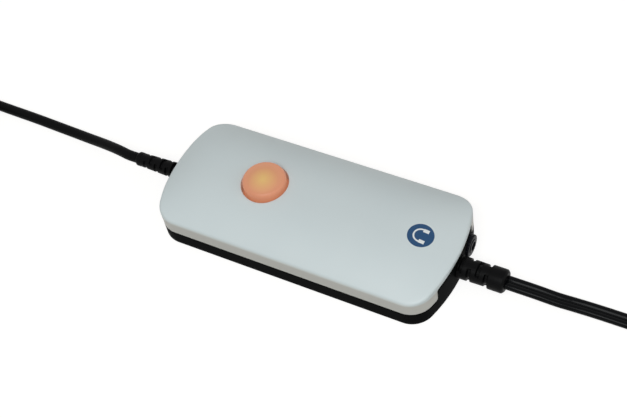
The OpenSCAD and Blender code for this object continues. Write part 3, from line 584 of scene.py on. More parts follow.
def twin_lead_surface():
    surface = Surface("twin_lead")
    waves = surface.noise(0.25)
    return surface.done(Base_Color=rgb(4, 5, 7), Roughness=waves * 0.1 + 0.12, Specular_IOR_Level=0.08,
                        Normal=surface.bump(waves, 0.05))


def board_surface():
    """Green solder mask with lines of copper under it."""
    surface = Surface("board")
    wander = surface.noise(0.12) * 6
    tracks = (surface.y + wander).repeat(1.9).below(0.5, 0.2)
    return surface.done(Base_Color=surface.mixed(tracks, rgb(18, 78, 46), rgb(42, 112, 66)),
                        Roughness=tracks * -0.1 + 0.42, Normal=surface.bump(tracks, 0.03))


# ---- casing ----

CORNER_Y = HALF_W - CORNER_R
CORNER_X = HALF_LEN - END_R + math.sqrt((END_R - CORNER_R) ** 2 - CORNER_Y ** 2)
END_ANGLE = math.atan2(CORNER_Y, CORNER_X - HALF_LEN + END_R)
NOTCH_ROUND = 1.5
FOOT_ROUND = 1.2
CORNER_STEPS = 18
SIDE_STEPS = 26


def quarter_columns(step_y):
    """Columns of one quarter, from the end's middle: ("end", y), ("corner", share) and ("side", share).

    The end has a pair of columns 0.01 apart at step_y, where the edge steps up, and close ones beside it.
    """
    before = step_y - NOTCH_ROUND
    turn = np.linspace(0, math.pi / 2, 8)
    ys = list(np.linspace(0, before, 18)) + [before + NOTCH_ROUND * math.sin(t) for t in turn[1:]]
    ys += [step_y + 0.01 + FOOT_ROUND * (1 - math.cos(t)) for t in turn]
    return ([("end", y) for y in ys] + [("corner", t) for t in np.linspace(0, 1, CORNER_STEPS)]
            + [("side", t) for t in np.linspace(0, 1, SIDE_STEPS)[1:]])


def quarter_point(column, inset):
    kind, value = column
    if kind == "end":
        return HALF_LEN - END_R + math.sqrt((END_R - inset) ** 2 - value ** 2), value
    if kind == "corner":
        angle = END_ANGLE + (math.pi / 2 - END_ANGLE) * value
        r = max(CORNER_R - inset, 0.5)
        return CORNER_X + r * math.cos(angle), CORNER_Y + r * math.sin(angle)
    return CORNER_X * (1 - value), HALF_W - inset


class Columns:
    """Columns all round the outline, the same at every inset."""

    def __init__(self, step_y):
        self.quarter = quarter_columns(step_y)
        self.step_y = step_y
        ring = self.ring(0)
        self.x, self.y = ring[:, 0], ring[:, 1]
        self.count = len(ring)
        # 1 in the columns of the two ends, up to the step
        self.stepped = (np.abs(self.y) < step_y + 0.004) & (np.abs(self.x) > CORNER_X)

    def ring(self, inset):
        q = [quarter_point(c, inset) for c in self.quarter]
        upper = q + [(-x, y) for x, y in q[-2::-1]]
        return np.array(upper + [(x, -y) for x, y in upper[-2:0:-1]])

    def arch(self, drop=0.0):
        """Height of the line between the halves: up under the lip at the ends, with round corners."""
        y = np.abs(self.y)
        before = self.step_y - NOTCH_ROUND
        flat = ARCH_TOP - drop - ARCH_R + np.sqrt(ARCH_R ** 2 - np.minimum(y, before) ** 2)
        down = NOTCH_ROUND - np.sqrt(np.maximum(0, NOTCH_ROUND ** 2 - np.maximum(0, y - before) ** 2))
        past = np.clip(y - self.step_y, 0, FOOT_ROUND)
        foot = FOOT_ROUND - np.sqrt(np.maximum(0, FOOT_ROUND ** 2 - (FOOT_ROUND - past) ** 2))
        at_end = np.abs(self.x) > CORNER_X
        return np.where(self.stepped, flat - down, SPLIT_Z + np.where(at_end, foot, 0))


def crown_tree(material):
    """Raises each point by its crown weight times the crown's height over its place."""
    tree = GeometryTree("crown", "Middle rise", "End rise", "Half length", "Half width")
    place = tree.points()
    across = 1 - (abs(place["Y"]) / tree["Half width"]).least(1) ** CROWN_POWER
    along = 1 - (1 - tree["End rise"] / tree["Middle rise"]) * (
        abs(place["X"]) / tree["Half length"]).least(1) ** END_POWER
    weight = tree.node("GeometryNodeInputNamedAttribute", {"Name": "crown"}, data_type="FLOAT")["Attribute"]
    rise = weight * tree["Middle rise"] * across * along
    return tree.out(tree.moved(Z=rise), material)


def circle(r, towards):
    """Points on the button's circle in the directions of these outline points."""
    ahead = towards - (BUTTON_X, 0)
    return (BUTTON_X, 0) + ahead / np.linalg.norm(ahead, axis=1)[:, None] * r


def stack_rows(rows):
    """(points, weights) of rows that are each (ring, height, crown weight)."""
    points, weights = [], []
    for ring, z, weight in rows:
        n = len(ring)
        points.append(np.column_stack([ring, np.broadcast_to(z, n)]))
        weights.append(np.broadcast_to(weight, n))
    return np.concatenate(points), np.concatenate(weights)


BOSS_SIDES = 40


def tube_mesh(x, y, z_low, z_high, r_out, r_in):
    points, faces = turned([(r_out, z_low), (r_out, z_high), (r_in, z_high), (r_in, z_low)], BOSS_SIDES)
    return points + (x, y, 0), faces


def quarter_arc(r, steps):
    """(distance inwards, height) of points up a quarter circle."""
    return [(r * (1 - math.cos(a)), r * math.sin(a)) for a in np.linspace(0, math.pi / 2, steps)]


def four_places(x, y):
    return [(sx * x, sy * y) for sx in (-1, 1) for sy in (-1, 1)]


def make_top_shell():
    """Rows up the hole's wall, over the top, down the skirt and back over the inside."""
    cols = Columns(NOTCH_W / 2)
    edge, inner = cols.ring(EDGE_R), cols.ring(WALL)
    bottom = cols.arch()
    rows = [(circle(HOLE_R, edge), z, weight)
            for z, weight in ((GUIDE_Z, 0), (TOP_EDGE_Z - 2.5, 1), (TOP_EDGE_Z - 1, 1))]
    rows += [(circle(HOLE_R + inwards, edge), TOP_EDGE_Z - HOLE_ROUND + up, 1)
             for inwards, up in quarter_arc(HOLE_ROUND, 6)]
    start = circle(HOLE_R + HOLE_ROUND, edge)
    for t in np.linspace(0, 1, 34)[1:-1]:
        rows.append((start * (1 - t) + edge * t, TOP_EDGE_Z, 1))
    rows += [(cols.ring(inwards), SKIRT_TOP + up, 1) for inwards, up in quarter_arc(EDGE_R, 7)[::-1]]
    outer = cols.ring(0)
    low = bottom + SPLIT_ROUND
    for t in (0.25, 0.5, 0.75, 1):
        rows.append((outer, SKIRT_TOP * (1 - t) + low * t, 1 - t))
    rows += [(cols.ring(inwards), low - down, 0) for inwards, down in quarter_arc(SPLIT_ROUND, 4)[1:]]
    groove = bottom + np.where(cols.stepped, 0, TONGUE_H + SHELL_GAP)
    rows += [(cols.ring(WALL / 2), bottom, 0), (cols.ring(WALL / 2), groove, 0), (inner, groove, 0),
             (inner, np.where(cols.stepped, bottom, TOP_EDGE_Z - WALL), np.where(cols.stepped, 0, 1))]
    far = circle(GUIDE_R, inner)
    for t in np.linspace(0, 1, 14)[1:]:
        rows.append((inner * (1 - t) + far * t, TOP_EDGE_Z - WALL, 1))
    rows.append((far, GUIDE_Z, 0))
    points, weights = stack_rows(rows)
    faces = grid_faces(len(rows), cols.count, wrap_rows=True)
    parts = [(points, faces)] + [
        tube_mesh(x, y, SPLIT_Z, TOP_EDGE_Z, BOSS_R, SCREW_D / 2) for x, y in four_places(SCREW_X, SCREW_Y)]
    points, faces = join_meshes(parts)
    weights = np.concatenate([weights, np.zeros(len(points) - len(weights))])
    shell = mesh_piece("top_half", points, faces, crown=weights)
    return grown(shell, crown_tree(white_shell()), {
        "Middle rise": CROWN_MID * MM, "End rise": CROWN_END * MM, "Half length": HALF_LEN * MM,
        "Half width": HALF_W * MM})


def cut(piece, points, faces, how="DIFFERENCE"):
    """The piece after a boolean with a closed mesh."""
    tool = mesh_piece("cutter", points, faces)
    modifier = piece.modifiers.new("cut", "BOOLEAN")
    modifier.object, modifier.operation, modifier.solver = tool, how, "EXACT"
    settled(piece)
    bpy.data.objects.remove(tool)


def along_x(mesh, x, y, z):
    """A mesh turned about Z laid along X from a place."""
    points, faces = mesh
    return np.column_stack([points[:, 2], points[:, 0], points[:, 1]]) + (x, y, z), faces


def rod(r, length, steps=64):
    return turned([(0, 0), (r, 0), (r, length), (0, length)], steps)


def make_bottom_shell(material):
    """Rows out over the underside, up the wall and back over the inside, with holes and bosses cut in."""
    cols = Columns(PANEL_W / 2)
    outer, inner = cols.ring(0), cols.ring(WALL)
    behind_socket = (cols.x > 0) & (np.abs(cols.y - SOCKET_Y) < NUT_R + 0.6)
    inner_panel = inner.copy()
    inner_panel[behind_socket, 0] = np.minimum(inner[behind_socket, 0], PAD_X)
    top = cols.arch(SHELL_GAP)
    rows = [(outer * t, 0, 0) for t in (0.02, 0.5, 0.9)]
    rows += [(cols.ring(inwards), BASE_R - down, 0) for inwards, down in quarter_arc(BASE_R, 7)[::-1]]
    below = top - SPLIT_ROUND
    for t in (0.3, 0.6, 0.8, 1):
        rows.append((outer, BASE_R * (1 - t) + below * t, 0))
    rows += [(cols.ring(inwards), below + up, 0) for inwards, up in quarter_arc(SPLIT_ROUND, 4)[1:]]
    tongue_in = np.where(cols.stepped, 0, TONGUE_H)
    tongue = cols.ring(WALL / 2 + SHELL_GAP)
    rows += [(tongue, top, 0), (tongue, top + tongue_in, 0), (inner_panel, top + tongue_in, 0),
             (inner_panel, WALL, 0)]
    rows += [(inner_panel * t, WALL, 0) for t in (0.9, 0.5, 0.02)]
    shell = mesh_piece("bottom_half", stack_rows(rows)[0], closed_faces(len(rows), cols.count), material)
    lead_hole = along_x(rod(PANEL_HOLE_R, 8), HALF_LEN - 5, 0, LEAD_Z)
    cut(shell, *mirrored(*lead_hole))
    cut(shell, *lead_hole)
    cut(shell, *along_x(rod(PANEL_HOLE_R, 10), PAD_X - 1, SOCKET_Y, SOCKET_Z))
    cut(shell, *along_x(rod(SPOT_R, 8, 96), SEAT_X, SOCKET_Y, SOCKET_Z))
    for x, y in four_places(SCREW_X, SCREW_Y):
        cut(shell, *tube_mesh(x, y, WALL - 0.5, SPLIT_Z, BOSS_R, SCREW_CLEAR_R), "UNION")
        points, faces = turned([
            (0, -1), (SCREW_HEAD_R, -1), (SCREW_HEAD_R, SCREW_HEAD_Z), (SCREW_CLEAR_R, SCREW_HEAD_Z),
            (SCREW_CLEAR_R, 4), (0, 4)], BOSS_SIDES)
        cut(shell, points + (x, y, 0), faces)
    return shell


def make_button():
    """Hollow cap with a flange inside the casing, a low dome and a stem."""
    dome_edge = CAP_R - RIM_ROUND
    dome_r = (dome_edge ** 2 + CAP_DOME ** 2) / (2 * CAP_DOME)
    inner_r, ceiling = CAP_R - CAP_WALL, RIM_Z - CAP_WALL
    profile = [(0, STEM_Z), (STEM_R, STEM_Z), (STEM_R, ceiling), (inner_r, ceiling), (inner_r, FLANGE_Z),
               (FLANGE_R, FLANGE_Z), (FLANGE_R, FLANGE_Z + FLANGE_T), (CAP_R, FLANGE_Z + FLANGE_T)]
    profile += [(CAP_R - inwards, RIM_Z - RIM_ROUND + up) for inwards, up in quarter_arc(RIM_ROUND, 9)]
    profile += [(r, RIM_Z + CAP_DOME + math.sqrt(dome_r ** 2 - r * r) - dome_r)
                for r in np.linspace(dome_edge, 0, 16)[1:]]
    points, faces = turned(profile, 128)
    return mesh_piece("lit_cap", points + (BUTTON_X, 0, 0), faces, orange_cap())


SPRING_WIRE_R = 0.22
SPRING_TURNS = 3


def make_spring(material):
    """Return spring under the cap, wound within the box of its node; returns it and its two ends."""
    low, high = (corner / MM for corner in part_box("button_spring"))
    turn = np.linspace(0, 2 * math.pi * SPRING_TURNS, 40 * SPRING_TURNS + 1)
    reach = (high[0] - low[0]) / 2 - SPRING_WIRE_R
    foot, head = low[2] + SPRING_WIRE_R, high[2] - SPRING_WIRE_R
    path = np.column_stack([BUTTON_X + reach * np.cos(turn), reach * np.sin(turn),
                            foot + (head - foot) * turn / turn[-1]])
    return (mesh_piece("return_spring", *sweep(path, round_section(SPRING_WIRE_R, 12)), material),
            (BUTTON_X * MM, 0, low[2] * MM), (BUTTON_X * MM, 0, high[2] * MM))


# ---- reliefs and socket ----

RELIEF_FLANGE_R = 4.6
RELIEF_NECK_R = 3.0
RELIEF_OUT_X = HALF_LEN + 0.05
RELIEF_IN_X = HALF_LEN - END_R + math.sqrt((END_R - WALL) ** 2 - RELIEF_FLANGE_R ** 2) - 0.05
SLOT_W = 1.3
SLOT_EDGE = 0.45


def relief_tree(material):
    """Cuts slots down to a round core, by turns above and below and at the sides, with webs between."""
    tree = GeometryTree("crossed slots", "Start", "Pitch", "Width", "Edge", "Count", "Core", "Web",
                        "Axis height")
    place = tree.points()
    edge, web = tree["Edge"], tree["Web"] / 2
    past = abs(place["X"]) - tree["Start"] + edge / 2
    number = (past / tree["Pitch"]).math("FLOOR")
    inside = past - number * tree["Pitch"]
    opened = inside.ramp(0, edge) * inside.ramp(tree["Width"] + edge, tree["Width"])
    opened = opened * number.math("GREATER_THAN", -0.5) * number.math("LESS_THAN", tree["Count"] - 0.5)
    sideways = number.repeat(2)
    y, z = place["Y"], place["Z"] - tree["Axis height"]
    away = abs(y) * sideways + abs(z) * (1 - sideways)
    opened = opened * away.ramp(web - edge / 2, web + edge / 2)
    shrink = ((tree["Core"] / distance(y, z)).least(1) - 1) * opened
    return tree.out(tree.moved(Y=y * shrink, Z=z * shrink), material)


def make_relief(name, side, material, root_d, tip_d, collar_d, collar_l, core_d, length, first_slot, pitch,
                slots):
    """Tapered relief with a flange inside the casing; side is -1 at the left end."""
    root_r, tip_r, collar_r = root_d / 2, tip_d / 2, collar_d / 2
    inside, outside, tip_x = RELIEF_IN_X, RELIEF_OUT_X, HALF_LEN + length
    body_end = tip_x - collar_l
    profile = [(0, inside - 2), (RELIEF_FLANGE_R, inside - 2), (RELIEF_FLANGE_R, inside),
               (RELIEF_NECK_R, inside), (RELIEF_NECK_R, outside), (root_r - 0.3, outside),
               (root_r, outside + 0.3)]
    along = np.arange(outside + 0.4, body_end - 0.05, 0.09)
    share = (along - outside) / (body_end - outside)
    profile += list(zip(root_r + (tip_d - root_d) / 2 * share, along))
    profile += rounded([(tip_r, body_end), (collar_r, body_end), (collar_r, tip_x - 0.8),
                        (collar_r - 0.8, tip_x), (0, tip_x)], 0.25)
    mesh = along_x(turned(profile, 96), 0, 0, LEAD_Z)
    return grown(mesh_piece(name, *(mirrored(*mesh) if side < 0 else mesh)), relief_tree(material), {
        "Start": (outside + first_slot) * MM, "Pitch": pitch * MM, "Width": SLOT_W * MM,
        "Edge": SLOT_EDGE * MM, "Count": float(slots), "Core": core_d / 2 * MM, "Web": root_r * MM,
        "Axis height": LEAD_Z * MM})


def make_socket(plastic):
    """The socket's body, and the fluted nut that holds it."""
    bore_end, body_end = SOCKET_MOUTH_X - SOCKET_DEPTH, PAD_X - 8.5
    body = rounded([
        (SOCKET_BORE_R, bore_end), (SOCKET_BORE_R, SOCKET_MOUTH_X), (SOCKET_BARREL_R, SOCKET_MOUTH_X),
        (SOCKET_BARREL_R, PAD_X), (4, PAD_X), (4, body_end), (0, body_end)], 0.3)
    points, faces = along_x(turned([(0, bore_end)] + body, 96), 0, SOCKET_Y, SOCKET_Z)
    barrel = mesh_piece("socket_barrel", points, flipped(faces), plastic)

    def flutes(r, z, angles):
        depth = 0.25 if r > NUT_R - 0.1 else 0
        return r - depth * np.maximum(0, np.cos(20 * angles)) ** 2

    profile = rounded([(NUT_BORE_R, 0.05), (NUT_R, 0), (NUT_R, NUT_T), (NUT_BORE_R, NUT_T)], 0.5)
    ring = along_x(turned(profile, 240, flutes), SEAT_X, SOCKET_Y, SOCKET_Z)
    nut = mesh_piece("socket_ring", *ring, plastic)
    return barrel, nut


# ---- screws, plugs and ties ----


def screw_tree(name, material):
    """Copies of a screw at the four corners of a rectangle."""
    tree = GeometryTree(name, "Spacing X", "Spacing Y")
    corners = tree.node("GeometryNodeMeshGrid", {
        "Size X": tree["Spacing X"], "Size Y": tree["Spacing Y"], "Vertices X": 2, "Vertices Y": 2})
    copies = tree.node("GeometryNodeInstanceOnPoints", {
        "Points": corners["Mesh"], "Instance": tree["Geometry"]})
    return tree.out(copies["Instances"], material)


def box_mesh(low, high):
    points = [(x, y, z) for x in (low[0], high[0]) for y in (low[1], high[1]) for z in (low[2], high[2])]
    return points, [(0, 1, 3, 2), (4, 6, 7, 5), (0, 4, 5, 1), (2, 3, 7, 6), (0, 2, 6, 4), (1, 5, 7, 3)]


def make_screws(name, profile, recess_z, recess_w, outwards, spacing, material):
    """Four screws; the cross recess is cut from recess_z outwards, which is 1 up and -1 down."""
    screw = mesh_piece(name, *turned(profile, 48))
    for w, h in ((recess_w, recess_w / 4), (recess_w / 4, recess_w)):
        low, high = sorted((recess_z, recess_z + 3 * outwards))
        cut(screw, *box_mesh((-w / 2, -h / 2, low), (w / 2, h / 2, high)))
    screw.data.materials.clear()
    return grown(screw, screw_tree(name, material), {
        "Spacing X": spacing[0] * MM, "Spacing Y": spacing[1] * MM})


def rounded_ring(half_w, half_h, r, steps=8):
    """Rectangle with round corners, as (across, up) points."""
    ring = []
    for k, (sx, sy) in enumerate(((1, 1), (-1, 1), (-1, -1), (1, -1))):
        for a in np.linspace(k, k + 1, steps) * math.pi / 2:
            ring.append((sx * (half_w - r) + r * math.cos(a), sy * (half_h - r) + r * math.sin(a)))
    return np.array(ring)


def loft(sections, place):
    """Closed solid through (x, half width, half height, corner radius) sections along X."""
    rings = [[(x, *point) for point in rounded_ring(w, h, r)] for x, w, h, r in sections]
    return np.concatenate(rings) + place, flipped(closed_faces(len(rings), len(rings[0])))


GRIP_L = 25.0
GRIP_W = 7.8
GRIP_H = 4.0
NECK_L = 6.0
SHEET_T = 0.3


def make_usb_plug(place, plastic, steel):
    """Grip with a neck, and the steel mouth with its two windows."""
    sections = [(0, 2.7, 2.7, 2.6), (0.3, 2.95, 2.95, 2.85), (NECK_L - 1.2, 3.5, 3.4, 3.3),
                (NECK_L - 0.4, 4.2, 3.6, 3.2), (NECK_L, 6.2, 3.8, 2.6), (NECK_L + 0.6, 7.3, 3.95, 2.2),
                (NECK_L + 1.4, GRIP_W, GRIP_H, 2), (GRIP_L - 1, GRIP_W, GRIP_H, 2),
                (GRIP_L - 0.3, GRIP_W - 0.3, GRIP_H - 0.3, 1.7), (GRIP_L, GRIP_W - 0.8, GRIP_H - 0.8, 1.2)]
    grip = mesh_piece("usb_grip", *loft(sections, place), plastic)
    end = GRIP_L + 12
    w, h = 6, 2.25
    in_w, in_h = w - SHEET_T, h - SHEET_T
    mouth = [(GRIP_L, w, h, 0.5), (end - 0.1, w, h, 0.5), (end, w - 0.1, h - 0.1, 0.4),
             (end, in_w + 0.05, in_h + 0.05, 0.3), (end - 0.4, in_w, in_h, 0.25),
             (GRIP_L + SHEET_T, in_w, in_h, 0.25)]
    shell = mesh_piece("usb_sheet", *loft(mouth, place), steel)
    for side in (-1, 1):
        middle = np.array(place) + (GRIP_L + 6.5, side * 2.6, 2.2)
        cut(shell, *box_mesh(middle - (1.1, 1.1, 1), middle + (1.1, 1.1, 1)))
    return grip, shell


PLUG_GRIP_L = 24.0
PLUG_GRIP_R = 4.4
PIN_R = 1.75
GROOVE_R = 1.45


def make_headset_plug(place, plastic, steel):
    """Round grip with fine rings round its middle, and a pin with two grooves and a waisted tip."""
    r, end = PLUG_GRIP_R, PLUG_GRIP_L
    grip = [(0, 0), (3.2, 0), (3.5, 0.3), (r - 0.1, 6.6), (r, 7.4)]
    for x in np.arange(10, 20, 1.25):
        grip += [(r, x), (r - 0.22, x + 0.2), (r - 0.22, x + 0.4), (r, x + 0.6)]
    grip += [(r, end - 1), (r - 0.3, end - 0.4), (r - 0.8, end), (0, end)]
    pin = [(0, 0), (PIN_R, 0)]
    for x in (6.4, 9.0):
        pin += [(PIN_R, x), (GROOVE_R, x), (GROOVE_R, x + 0.8), (PIN_R, x + 0.8)]
    pin += [(PIN_R * 0.72, 11.4), (PIN_R * 0.76, 11.7), (PIN_R, 12.3), (PIN_R * 0.8, 13.0),
            (PIN_R * 0.3, 14), (0, 14)]

    def laid(name, profile, start, material):
        points, faces = along_x(turned(profile, 64), start, 0, 0)
        return mesh_piece(name, points * (-1, -1, 1) + place, faces, material)

    return laid("headset_grip", grip, 0, plastic), laid("headset_tip", pin, end, steel)


TIE_W = 4.0
TIE_T = 0.8
TIE_GAP = 0.25
TIE_CORNER_R = 2.0


def make_tie(name, hank, material):
    """Flat strap with soft edges round the middle of a hank."""
    half_w = hank.r_out + hank.width / 2 + TIE_GAP + TIE_T / 2
    low, high = TIE_T / 2, hank.top + TIE_GAP + TIE_T / 2
    path = rounded_ring(half_w, (high - low) / 2, TIE_CORNER_R)
    ahead = np.roll(path, -1, 0) - np.roll(path, 1, 0)
    outwards = np.column_stack([ahead[:, 1], -ahead[:, 0]]) / np.linalg.norm(ahead, axis=1)[:, None]
    section = rounded_ring(TIE_W / 2, TIE_T / 2, 0.25, 3)
    middle = np.array((hank.centre[0] + hank.side * hank.run / 2, hank.centre[1], (low + high) / 2))
    rings = [np.column_stack([section[:, 0], np.outer(section[:, 1], out) + at]) + middle
             for at, out in zip(path, outwards)]
    faces = grid_faces(len(rings), len(section), wrap_rows=True)
    return mesh_piece(name, np.concatenate(rings), faces, material)


# ---- leads ----

ROUND_LEAD_D = 4.5
TWIN_W = 6.0
TWIN_T = 3.0
TWIN_WEB = 1.9
TWIN_STEPS = 13
LOOP_GAP = 0.5
HANK_LIFT = TIE_T + 0.1
LEAD_SIDES = 20

USB_ROUTE = [
    (-84.5, 0, 8.5), (-89, 0, 8.5), (-94, 0.9, 8), (-100, 2.2, 6.6), (-107, 3.5, 4.9), (-114, 4.5, 3.5),
    (-122, 5.3, 2.6), (-132, 5.8, 2.3), (-144, 6.2, 2.3), (-157, 6.4, 2.3), (-165, 6.5, 2.4),
    (-171, 6.5, 2.8), (-176, 6.5, 3.15), (-179.5, 6.5, 3.15)]
HEADSET_ROUTE = [
    (81.5, 0, 8.5), (85.5, 0, 8.5), (93, 0.4, 7.8), (101, 1.5, 5.7), (107, 2.7, 4.1), (113, 3.7, 2.8),
    (119, 4.3, 2), (126, 4.6, 1.6), (133, 4.8, 1.5), (140, 4.9, 1.6), (147, 5, 2), (152, 5, 2.4),
    (155, 5, 2.4)]
# The free ends lie inside their hanks: distance back from the far end, distance inwards and height
USB_TAIL = [(4.5, 0, 13.15), (8, 0, 13.15), (14, 1.8, 12.7), (20, 5.2, 11.2), (26, 8.9, 9), (32, 12, 6.6),
            (37, 13.3, 4.9), (41, 13.5, 4.2), (44, 13.5, 4.2)]
HEADSET_TAIL = [(6, 0, 9.4), (9, 0, 9.4), (14, 1.6, 9.4), (19, 5, 9.3), (24, 9, 8.4), (29, 11.8, 6.6),
                (34, 12.5, 5), (37, 12.5, 4.5), (39.5, 12.5, 4.5)]
HANK_STRETCHES = 18
# The lead stays in one lane, and in one layer, for this many stretches
LANE_STRETCHES = 6
STRETCH_STEPS = 24


class Hank:
    """Long loops of lead with an outer and an inner lane, layer on layer, from a near end at centre."""

    def __init__(self, centre, side, r_in, run, width, height):
        self.centre, self.side, self.r_in, self.run = np.array(centre, float), side, r_in, run
        self.width, self.pitch, self.layer = width, width + LOOP_GAP, height + LOOP_GAP
        self.r_out = r_in + self.pitch
        self.top = centre[2] + self.layer * self.layer_at(HANK_STRETCHES) + height / 2

    @staticmethod
    def lane_at(n):
        """0 in the outer lane and 1 in the inner one."""
        return (n + LANE_STRETCHES // 2) // LANE_STRETCHES % 2

    @staticmethod
    def layer_at(n):
        return max(0, (n - 1) // LANE_STRETCHES)

    def stretch(self, n, t):
        """Points t of the way along stretch n; runs are even and half turns are odd."""
        def eased(u):
            return 0.5 - np.cos(math.pi * np.clip(u, 0, 1)) / 2

        lane, layer = self.lane_at(n), self.layer_at(n)
        r = self.r_in + self.pitch * (1 - lane - (self.lane_at(n + 1) - lane) * eased(2 * t - 1))
        z = self.layer * (layer + (self.layer_at(n + 1) - layer) * eased(2 * t))
        angle = math.pi * (0.5 - t)
        x, y = ((self.run * t, r), (self.run + r * np.cos(angle), r * np.sin(angle)),
                (self.run * (1 - t), -r), (-r * np.cos(angle), -r * np.sin(angle)))[n % 4]
        return np.stack([x, y, z], 1)

    def path(self):
        shares = np.arange(STRETCH_STEPS) / STRETCH_STEPS
        parts = [self.stretch(n, shares) for n in range(HANK_STRETCHES)]
        parts.append(self.stretch(HANK_STRETCHES, np.zeros(1)))
        return self.centre + np.concatenate(parts) * (self.side, 1, 1)

    def inside(self, tail):
        """Points of a tail that lies within the loops."""
        return [(self.centre[0] + self.side * (self.run - back), self.centre[1] - self.r_in + inwards, z)
                for back, inwards, z in tail]


def lead_path(route, hank, tail):
    return np.concatenate([smooth_path(route), hank.path(), smooth_path(hank.inside(tail))])


def twin_section():
    """Two round cores side by side, joined by a web that is thinner than they are."""
    r = TWIN_T / 2
    centre = TWIN_W / 2 - r
    open_angle = math.pi - math.asin(TWIN_WEB / 2 / r)
    right = [(centre + r * math.cos(a), r * math.sin(a))
             for a in np.linspace(-open_angle, open_angle, TWIN_STEPS)]
    return right + [(-x, -y) for x, y in right]


usb_hank = Hank((-184, -12, ROUND_LEAD_D / 2 + HANK_LIFT), -1, 13.5, 80, ROUND_LEAD_D, ROUND_LEAD_D)
headset_hank = Hank((161, -14, TWIN_T / 2 + HANK_LIFT), 1, 12.5, 70, TWIN_W, TWIN_T)
usb_path = lead_path(USB_ROUTE, usb_hank, USB_TAIL)
headset_path = lead_path(HEADSET_ROUTE, headset_hank, HEADSET_TAIL)
round_lead = mesh_piece("round_lead", *sweep(usb_path, round_section(ROUND_LEAD_D / 2, LEAD_SIDES)))
twin_lead = mesh_piece("twin_lead", *sweep(headset_path, twin_section()))

# ---- pieces ----

black_shell = moulded("black_shell", rgb(10, 11, 11), 0.55, Specular_IOR_Level=0.01)
rubber = moulded("lead_rubber", rgb(10, 10, 11), 0.42, Specular_IOR_Level=0.06)
top_half = make_top_shell()
bottom_half = make_bottom_shell(black_shell)
lit_cap = make_button()
usb_relief = make_relief(
    "slotted_relief_left", -1, rubber, root_d=7.2, tip_d=5.8, collar_d=6.0, collar_l=2.4, core_d=4.6,
    length=22, first_slot=2.6, pitch=2.7, slots=6)
headset_relief = make_relief(
    "slotted_relief_right", 1, rubber, root_d=9.2, tip_d=8.7, collar_d=9.6, collar_l=6.4, core_d=6.4,
    length=19, first_slot=0.6, pitch=3.45, slots=4)
barrel, ring = make_socket(socket_black())
steel = metal("steel", rgb(190, 192, 194), 0.28)
plug_plastic = moulded("plug_plastic", rgb(18, 18, 19), 0.45)
plug_steel = metal("plug_steel", rgb(200, 201, 203), 0.22)
tie_plastic = moulded("tie_plastic", rgb(24, 24, 25), 0.4)
case_fixings = make_screws(
    "case_fixings", [(0, 0.6), (2.15, 0.6), (2.3, 0.75), (2.3, 2.2), (1.2, 2.2), (1.2, 10.8), (0.8, 11.2),
                     (0, 11.2)], 1.6, 2.16, -1, (2 * SCREW_X, 2 * SCREW_Y), steel)
board_fixings = make_screws(
    "board_fixings", [(0, 2.6), (0.7, 2.6), (0.95, 2.9), (0.95, 6.6), (1.9, 6.6), (1.9, 7.5), (1.6, 7.8),
                      (0, 7.8)], 7.1, 1.52, 1, (2 * BOARD_SCREW_X, 2 * BOARD_SCREW_Y), steel)
usb_grip, usb_sheet = make_usb_plug(usb_path[-1], plug_plastic, plug_steel)
headset_grip, headset_tip = make_headset_plug(headset_path[-1], plug_plastic, plug_steel)
usb_tie = make_tie("usb_strap", usb_hank, tie_plastic)
headset_tie = make_tie("headset_strap", headset_hank, tie_plastic)

STANDS_FOR = {
    top_half: ("top_shell", "casing", "white_shell"),
    bottom_half: ("bottom_shell", "casing", "black_shell"),
    lit_cap: ("response_button", "button", "orange_cap"),
    usb_relief: ("usb_strain_relief", "casing", "lead_rubber"),
    headset_relief: ("headset_strain_relief", "casing", "lead_rubber"),
    barrel: ("socket_body", "casing", "socket_plastic"), ring: ("socket_nut", "casing", "socket_plastic"),
    case_fixings: ("case_screws", "casing", "steel"), board_fixings: ("board_screws", "casing", "steel"),
    usb_grip: ("usb_plug_grip", "casing", "plug_plastic"),
    usb_sheet: ("usb_plug_shell", "casing", "plug_steel"),
    headset_grip: ("headset_plug_grip", "casing", "plug_plastic"),
    headset_tip: ("headset_plug_pin", "casing", "plug_steel"),
    usb_tie: ("usb_hank_tie", "casing", "tie_plastic"),
    headset_tie: ("headset_hank_tie", "casing", "tie_plastic")}
for piece, (node, body, slot) in STANDS_FOR.items():
    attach(piece, body)
    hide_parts(node)

spring, spring_foot, spring_head = make_spring(steel)
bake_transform(spring)
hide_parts("button_spring")

for piece in (round_lead, twin_lead):
    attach(piece, "casing")
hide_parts("usb_lead", "usb_lead_hank", "usb_lead_tail")
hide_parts("headset_lead", "headset_lead_hank", "headset_lead_tail")

round_lead.data.materials.append(moulded("round_lead", rgb(15, 15, 16), 0.42, Specular_IOR_Level=0.04))
twin_lead.data.materials.append(twin_lead_surface())

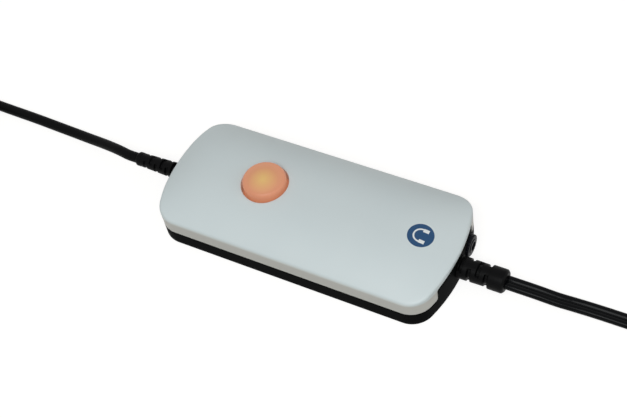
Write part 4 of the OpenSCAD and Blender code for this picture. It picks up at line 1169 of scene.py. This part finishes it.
PLAIN = [
    (board_surface(), ["main_circuit_board"]),
    (moulded("chip_plastic", rgb(34, 34, 36), 0.5), [
        "controller_chip", "audio_codec_chip", "headphone_amplifier_chip", "isolator_chip",
        "isolated_power_module", "memory_chip", "switch_body"]),
    (metal("can_metal", rgb(205, 206, 208), 0.22), ["crystal", "capacitors"]),
    (moulded("clear_plastic", rgb(226, 224, 216), 0.2), ["switch_plunger"]),
    (moulded("lamp", rgb(248, 220, 150), 0.2, Emission_Color=rgb(255, 196, 96), Emission_Strength=2.0),
     ["button_led"]),
    (moulded("header_plastic", rgb(224, 220, 204), 0.4), ["usb_wire_header", "headset_wire_header"]),
    (moulded("wire_red", rgb(170, 32, 30), 0.4), ["usb_wires"]),
    (moulded("wire_blue", rgb(40, 74, 150), 0.4), ["headset_wires"]),
    (moulded("wire_yellow", rgb(208, 170, 48), 0.4), ["socket_wires"]),
    (plug_plastic, ["usb_plug_insert"]),
    (metal("gold_contact", rgb(212, 172, 92), 0.2), ["usb_plug_contacts"]),
    (moulded("ring_plastic", rgb(20, 20, 20), 0.4), ["headset_plug_rings"])]
for material, names in PLAIN:
    for name in names:
        nodes[name].data.materials.clear()
        nodes[name].data.materials.append(material)

# ---- floor and light ----

FLOOR_HALF = 2000
FLOOR_Z = -0.02
FLOOR_WHITE = rgb(234, 234, 235)
BACKDROP_WHITE = rgb(246, 246, 246)
SOFT_LIGHT = (0.3, 0.293, 0.276)


def make_floor():
    """White ground that keeps the object's soft shadow."""
    surface = Surface("floor")
    shown = surface.mixed(surface.in_sight(), (0.0, 0.0, 0.0), FLOOR_WHITE)
    material = surface.done(Base_Color=rgb(150, 148, 142), Roughness=0.9, Specular_IOR_Level=0.1,
                            Emission_Color=shown, Emission_Strength=1.0)
    corners = [(x * FLOOR_HALF, y * FLOOR_HALF, FLOOR_Z) for x, y in ((-1, -1), (1, -1), (1, 1), (-1, 1))]
    floor = mesh_piece("floor", corners, [(0, 1, 2, 3)], material)


def area_light(name, place, aim, size, power, colour=(1.0, 1.0, 1.0)):
    data = bpy.data.lights.new(name, "AREA")
    data.shape, data.energy, data.color = "RECTANGLE", power, colour
    data.size, data.size_y = size
    light = bpy.data.objects.new(name, data)
    ahead = Vector(aim) - Vector(place)
    light.matrix_world = Matrix.Translation(place) @ ahead.to_track_quat("-Z", "Y").to_matrix().to_4x4()
    bpy.context.scene.collection.objects.link(light)


def make_world():
    """White to look at, and a dimmer light from all round."""
    world = bpy.data.worlds.new("studio")
    bpy.context.scene.world = world
    world.use_nodes = True
    tree = ShaderTree(world.node_tree)
    colour = tree.mixed(tree.in_sight(), SOFT_LIGHT, BACKDROP_WHITE)
    backdrop = tree.node("ShaderNodeBackground", {"Color": colour, "Strength": 1.0})
    tree.node("ShaderNodeOutputWorld", {"Surface": backdrop["Background"]})


make_floor()
make_world()
area_light("key", (0.22, -0.62, 0.91), (0, 0, 0), (0.8, 0.5), 6.8, (0.97, 1.0, 1.0))
area_light("end", (0.9, 0.1, 0.5), (0.06, 0, 0), (0.5, 0.5), 1.2)
bpy.context.scene.view_settings.view_transform = "Standard"
